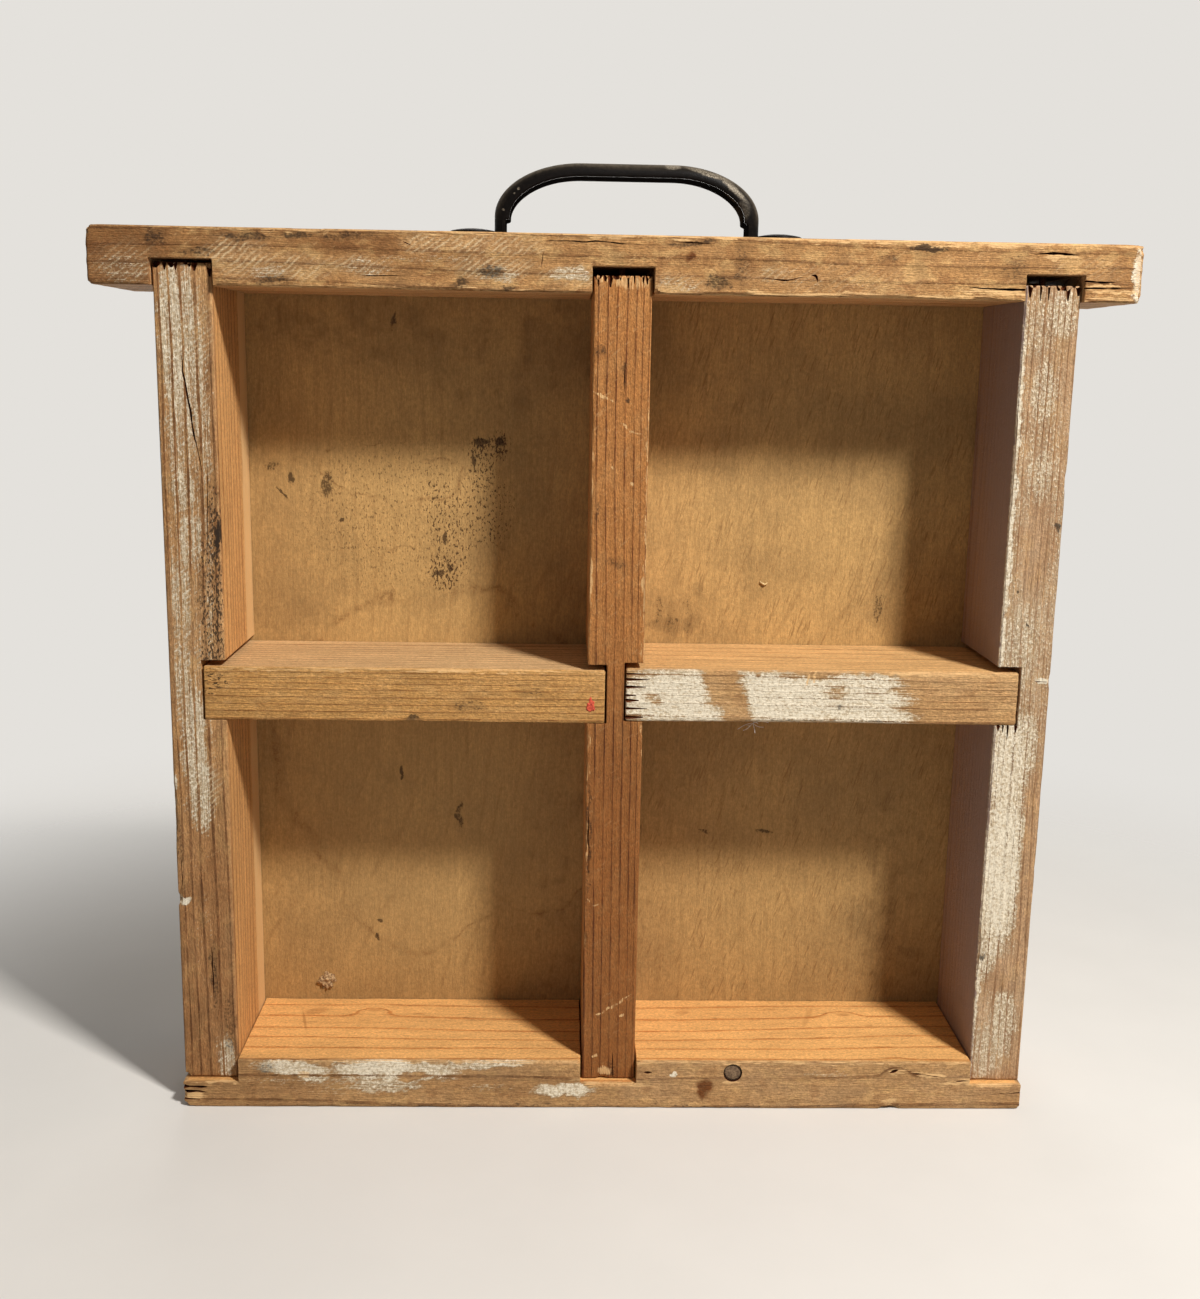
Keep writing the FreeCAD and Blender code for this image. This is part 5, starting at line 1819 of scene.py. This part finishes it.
def nail_shape(w, given):
    """One nail that points down: a domed, hammered head, a shank and a point."""
    head, thick = given["Head Radius"], given["Head Thickness"]
    blank = w.node("GeometryNodeMeshCylinder", {
        "Vertices": 18, "Side Segments": 5, "Fill Segments": 3, "Radius": 1.0, "Depth": 1.0,
    }, fill_type="TRIANGLE_FAN").outputs["Mesh"]
    spot = w.node("GeometryNodeInputPosition").outputs[0]
    place = w.parts(spot)
    part = w.node("FunctionNodeFloatToInt", {
        0: w.times(w.minus(0.5, place["Z"]), 5.0),
    }, rounding_mode="ROUND").outputs[0]
    radius = ring_table(w, part, [
        w.times(head, 0.9), head, head, given["Shank Radius"], given["Shank Radius"],
        w.times(given["Shank Radius"], 0.08),
    ])
    shank_end = w.minus(given["Length"], given["Point Length"])
    depth = ring_table(w, part, [
        w.times(thick, 0.12), w.times(thick, 0.35), thick,
        w.times(thick, 1.05), shank_end, given["Length"],
    ])
    out = w.plus(w.times(place["X"], place["X"]), w.times(place["Y"], place["Y"]))
    dome = w.times(w.minus(1.0, out), w.times(thick, 0.12))
    dome = w.times(dome, w.math("COMPARE", part, 0.0, 0.5))
    shaped = w.node("ShaderNodeCombineXYZ", {
        "X": w.times(place["X"], radius), "Y": w.times(place["Y"], radius),
        "Z": w.minus(dome, depth),
    }).outputs[0]
    return w.node("GeometryNodeSetPosition", {"Geometry": blank, "Position": shaped}).outputs[0]


def nail_tree():
    """Driven nails, one on each vertex of the base."""
    tree = new_tree("driven_nails", [
        ("Head Radius", "Float"), ("Head Thickness", "Float"), ("Shank Radius", "Float"),
        ("Length", "Float"), ("Point Length", "Float"), ("Out Of Wood", "Vector"), ("Seed", "Int"),
        ("Material", "Material"),
    ])
    w = Wiring(tree)
    given = w.node("NodeGroupInput").outputs
    nail = nail_shape(w, given)
    out = {"Vector": given["Out Of Wood"]}
    stand = w.node("FunctionNodeAlignRotationToVector", out, axis="Z").outputs[0]
    spin = w.node("FunctionNodeRandomValue", {
        "Min": (0, 0, 0), "Max": (0, 0, 2 * math.pi), "Seed": given["Seed"],
    }, data_type="FLOAT_VECTOR").outputs["Value"]
    turn = w.node("FunctionNodeEulerToRotation", {0: spin}).outputs[0]
    facing = w.node("FunctionNodeRotateRotation", {0: stand, 1: turn}, rotation_space="LOCAL").outputs[0]
    driven = w.node("GeometryNodeInstanceOnPoints", {
        "Points": given["Geometry"], "Instance": nail, "Rotation": facing,
    }).outputs[0]
    end_tree(w, given, driven)
    return tree


def nails():
    """Every group of nails and brads, each standing for its node of the frame."""
    tree = nail_tree()
    steel = rusty_steel("nail_steel", srgb(96, 88, 80), srgb(52, 44, 38))
    for seed, (node, (nail, direction)) in enumerate(NAIL_GROUPS.items()):
        spots = new_mesh(node + "_spots", head_places(node, direction), [])
        mesh = run_tree(tree, spots, {
            "Head Radius": nail.head_r * MM, "Head Thickness": nail.head_t * MM,
            "Shank Radius": nail.shank_r * MM, "Length": nail.length * MM, "Point Length": nail.point * MM,
            "Out Of Wood": [-float(part) for part in direction], "Seed": seed, "Material": steel,
        })
        place_piece(new_object("driven_" + node, mesh), node)


def screw_mesh(place, seed):
    """A slotted countersunk screw with a coarse wood thread."""
    head_top = FOOT_RISE - SCREW_SINK
    neck = SCREW_HEAD_R - SCREW_SHANK_R
    profile = [(SCREW_HEAD_R - 0.25, 0.0), (SCREW_HEAD_R, 0.22), (SCREW_SHANK_R, neck + 0.22)]
    thread_end = SCREW_LENGTH - SCREW_TIP
    for step in np.arange(neck + 1.6, thread_end, 0.7):
        profile.append((SCREW_SHANK_R * (0.78 if len(profile) % 2 else 1.0), step))
    profile += [(SCREW_SHANK_R * 0.8, thread_end), (0.12, SCREW_LENGTH)]
    top = np.array(place) + (0, 0, head_top)
    body = turned(profile, top, DOWN, sides=32)
    angle = math.radians(24 + 71 * seed)
    along = np.array((math.cos(angle), math.sin(angle), 0))
    across = np.array((-math.sin(angle), math.cos(angle), 0))
    corners = []
    for z in (-0.9, 0.9):
        for a, c in ((-1, -1), (1, -1), (1, 1), (-1, 1)):
            corners.append(top + along * a * (SCREW_HEAD_R + 1) + across * c * 0.5 + (0, 0, z))
    faces = [[3, 2, 1, 0], [4, 5, 6, 7], [0, 1, 5, 4], [1, 2, 6, 5], [2, 3, 7, 6], [3, 0, 4, 7]]
    return combined(body, [outward_mesh("slot", np.array(corners), faces)], "DIFFERENCE")


def handle_screws():
    """The two screws that hold the handle."""
    mesh = joined([screw_mesh(place, seed) for seed, place in enumerate(foot_places())])
    mesh.materials.append(rusty_steel("screw_steel", srgb(70, 66, 62), srgb(36, 32, 30)))
    place_piece(new_object("slotted_screws", mesh), "handle_screws")


# Small things that lie on the wood

def lump(name, place, size, seed, rough=0.35):
    """A small uneven lump on a face."""
    whole = bmesh.new()
    bmesh.ops.create_icosphere(whole, subdivisions=4, radius=1.0)
    points = np.array([vertex.co for vertex in whole.verts])
    swell = 1 + rough * drift(points, 0.55, seed) + 0.5 * rough * drift(points, 0.22, seed + 1)
    for vertex, point in zip(whole.verts, points * swell[:, None]):
        vertex.co = (Vector(point) * Vector(size) + Vector(place)) * MM
    mesh = bpy.data.meshes.new(name)
    whole.to_mesh(mesh)
    whole.free()
    return mesh


def strand(path, radius, sides=6):
    """A thin fibre along a path."""
    line = np.array(path, float)
    along = Vector(line[-1] - line[0]).normalized()
    across = along.orthogonal().normalized()
    up = along.cross(across)
    points = []
    for place in line:
        points += ring_points(Vector(place), across, up, radius, sides)
    return outward_mesh("strand", points, tube_faces(len(line), sides))


COBWEB_KNOT = (48.6, -19.5, 140.2)
COBWEB_ENDS = (
    (43.4, -20.5, 138.2), (45.6, -18.0, 137.2), (49.4, -20.8, 137.0), (52.6, -18.6, 138.6),
    (54.0, -20.2, 140.6), (47.0, -17.4, 138.8), (50.8, -17.2, 139.4),
)


def cobweb():
    """A wisp of cobweb under the right shelf."""
    threads = []
    for index, end in enumerate(COBWEB_ENDS):
        share = np.linspace(0, 1, 7)[:, None]
        path = np.array(COBWEB_KNOT) * (1 - share) + np.array(end) * share
        path[:, 2] += 0.5 * np.sin(np.pi * share[:, 0]) * (-1) ** index
        threads.append(strand(path, 0.11))
    return joined(threads)


def lay(name, mesh, finish):
    """Puts a small thing on the wood."""
    mesh.materials.append(finish)
    piece = new_object(name, mesh)
    mesh.polygons.foreach_set("use_smooth", [True] * len(mesh.polygons))
    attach(piece, "root")


def small_things():
    """Things that time left on the wood: a splinter, paint, glue, an old dowel, a straw and a cobweb."""
    panel_y = panel_low[1]
    notch_end = uprights["right"][1] + (HOUSING_PLAY - 1.2, -1.4, TOP_PLAY["right"])
    lay("notch_splinter", lump("splinter", notch_end, (1.5, 1.0, 0.8), 95, 0.3), TORN)
    dab = lump("dab", (-7.4, FRONT_Y + 0.1, 147.0), (1.5, 0.26, 2.0), 91, 0.5)
    red = speckled("red_dab", srgb(226, 92, 60), srgb(168, 50, 32), 0.6)
    lay("red_paint_dab", dab, red)
    crumb = lump("crumb", (-106.6, panel_y + 0.2, 25.0), (3.2, 1.5, 3.0), 93, 0.6)
    glue = speckled("dried_glue", srgb(196, 164, 120), srgb(112, 80, 48), 0.9)
    lay("dried_glue_crumb", crumb, glue)
    profile = [(0.4, 0.6), (2.2, 0.65), (HOLE_R - 0.25, 0.85), (HOLE_R - 0.3, 2.5), (HOLE_R - 1, 2.9)]
    dowel = turned(profile, np.array(HOLE) + (0, 0, -0.14), BACK, sides=28)
    end_grain = speckled("dowel_end", srgb(138, 112, 84), srgb(90, 68, 48), 0.9)
    lay("old_dowel", dowel, end_grain)
    bends = [(55.2, panel_y - 0.2, 183.0), (56.9, panel_y - 0.5, 182.1), (57.9, panel_y - 0.2, 182.6)]
    dry_grass = speckled("straw", srgb(236, 210, 156), srgb(196, 160, 104), 0.8)
    lay("straw", strand(bends, 0.42), dry_grass)
    silk = speckled("cobweb", srgb(226, 220, 214), srgb(184, 176, 170), 0.9)
    lay("cobweb", cobweb(), silk)


back_panel()
carry_handle()
nails()
handle_screws()
small_things()
top_board()
bottom_board()
left_upright()
centre_upright()
right_upright()
left_shelf()
right_shelf()


# Camera, light and floor

CAMERA_PLACE = (-17.97, -498.66, 260.17)
CAMERA_DOWN = 11.179        # turns of the camera, in degrees
CAMERA_RIGHT = 1.614
CAMERA_ROLL = 1.0005
FOCAL_PIXELS = 1435.54
FRAME_HEIGHT = 1299
SENSOR = 36.0
MAIN_LAMP_PLACE = (0.44, -0.56, 0.92)   # the lamps are placed in metres
BACK_LAMP_PLACE = (-0.12, 0.95, 0.3)
LAMP_AIM = (0, 0, 0.15)
LAMP_TINT = (1.0, 0.97, 0.93)
FILL_TINT = (1.0, 0.98, 0.95, 1)
FILL_STRENGTH = 0.17
BACKDROP = srgb(228, 225, 220)
FLOOR_HALF = 1500.0
FLOOR_FADE = (560.0, 190.0)  # distances from the caddy at which the floor is gone and still whole


def camera():
    """The photograph's viewpoint."""
    data = bpy.data.cameras.new("camera")
    data.sensor_width = SENSOR
    data.lens = FOCAL_PIXELS * SENSOR / FRAME_HEIGHT
    data.clip_start = 0.01
    made = bpy.data.objects.new("camera", data)
    bpy.context.scene.collection.objects.link(made)
    turn = Matrix.Rotation(-math.radians(CAMERA_RIGHT), 4, "Z")
    turn = turn @ Matrix.Rotation(math.radians(90 - CAMERA_DOWN), 4, "X")
    turn = turn @ Matrix.Rotation(math.radians(CAMERA_ROLL), 4, "Z")
    made.matrix_world = Matrix.Translation(Vector(CAMERA_PLACE) * MM) @ turn
    bpy.context.scene.camera = made


def area_lamp(name, place, size, power):
    """A soft square lamp that faces the middle of the caddy, in metres and watts."""
    data = bpy.data.lights.new(name, "AREA")
    data.size = size
    data.energy = power
    data.color = LAMP_TINT
    made = bpy.data.objects.new(name, data)
    bpy.context.scene.collection.objects.link(made)
    made.location = place
    made.rotation_mode = "QUATERNION"
    made.rotation_quaternion = (Vector(LAMP_AIM) - Vector(place)).to_track_quat("-Z", "Y")


def lamps():
    """A main lamp at the upper right and a weak one behind."""
    area_lamp("main_lamp", MAIN_LAMP_PLACE, size=0.12, power=15.0)
    area_lamp("back_lamp", BACK_LAMP_PLACE, size=0.5, power=3.6)


def surround():
    """An even surround: a weak fill light that looks pale to the camera and in reflections."""
    world = bpy.data.worlds.new("surround")
    bpy.context.scene.world = world
    world.use_nodes = True
    w = Wiring(world.node_tree)
    path = w.node("ShaderNodeLightPath").outputs
    seen = w.math("MAXIMUM", path["Is Camera Ray"], path["Is Glossy Ray"])
    seen = w.math("MAXIMUM", seen, path["Is Transmission Ray"])
    fill = w.node("ShaderNodeBackground", {"Color": FILL_TINT, "Strength": FILL_STRENGTH})
    shown = w.node("ShaderNodeBackground", {"Color": BACKDROP, "Strength": 1.0})
    both = w.node("ShaderNodeMixShader", {0: seen, 1: fill.outputs[0], 2: shown.outputs[0]})
    w.feed(world.node_tree.nodes["World Output"].inputs["Surface"], both.outputs[0])


def pale_floor():
    """A pale floor that takes the shadow and fades into the surround."""
    corners = [(-FLOOR_HALF, -FLOOR_HALF, 0), (FLOOR_HALF, -FLOOR_HALF, 0)]
    corners += [(FLOOR_HALF, FLOOR_HALF, 0), (-FLOOR_HALF, FLOOR_HALF, 0)]
    ground = new_mesh("floor", corners, [[0, 1, 2, 3]])
    f = Finish("pale_floor")
    cloud = f.noise(f.place, 0.02, 4.0)
    f.done(f.mix(cloud, srgb(212, 209, 204), srgb(220, 217, 212)), 0.85, f.bump(cloud, 0.2))
    away = f.node("ShaderNodeVectorMath", {0: f.place}, operation="LENGTH").outputs["Value"]
    f.feed(f.shader.inputs["Alpha"], f.band(away, *FLOOR_FADE))
    ground.materials.append(f.material)
    floor = new_object("floor", ground)


camera()
lamps()
surround()
pale_floor()
bpy.context.scene.view_settings.view_transform = "Standard"
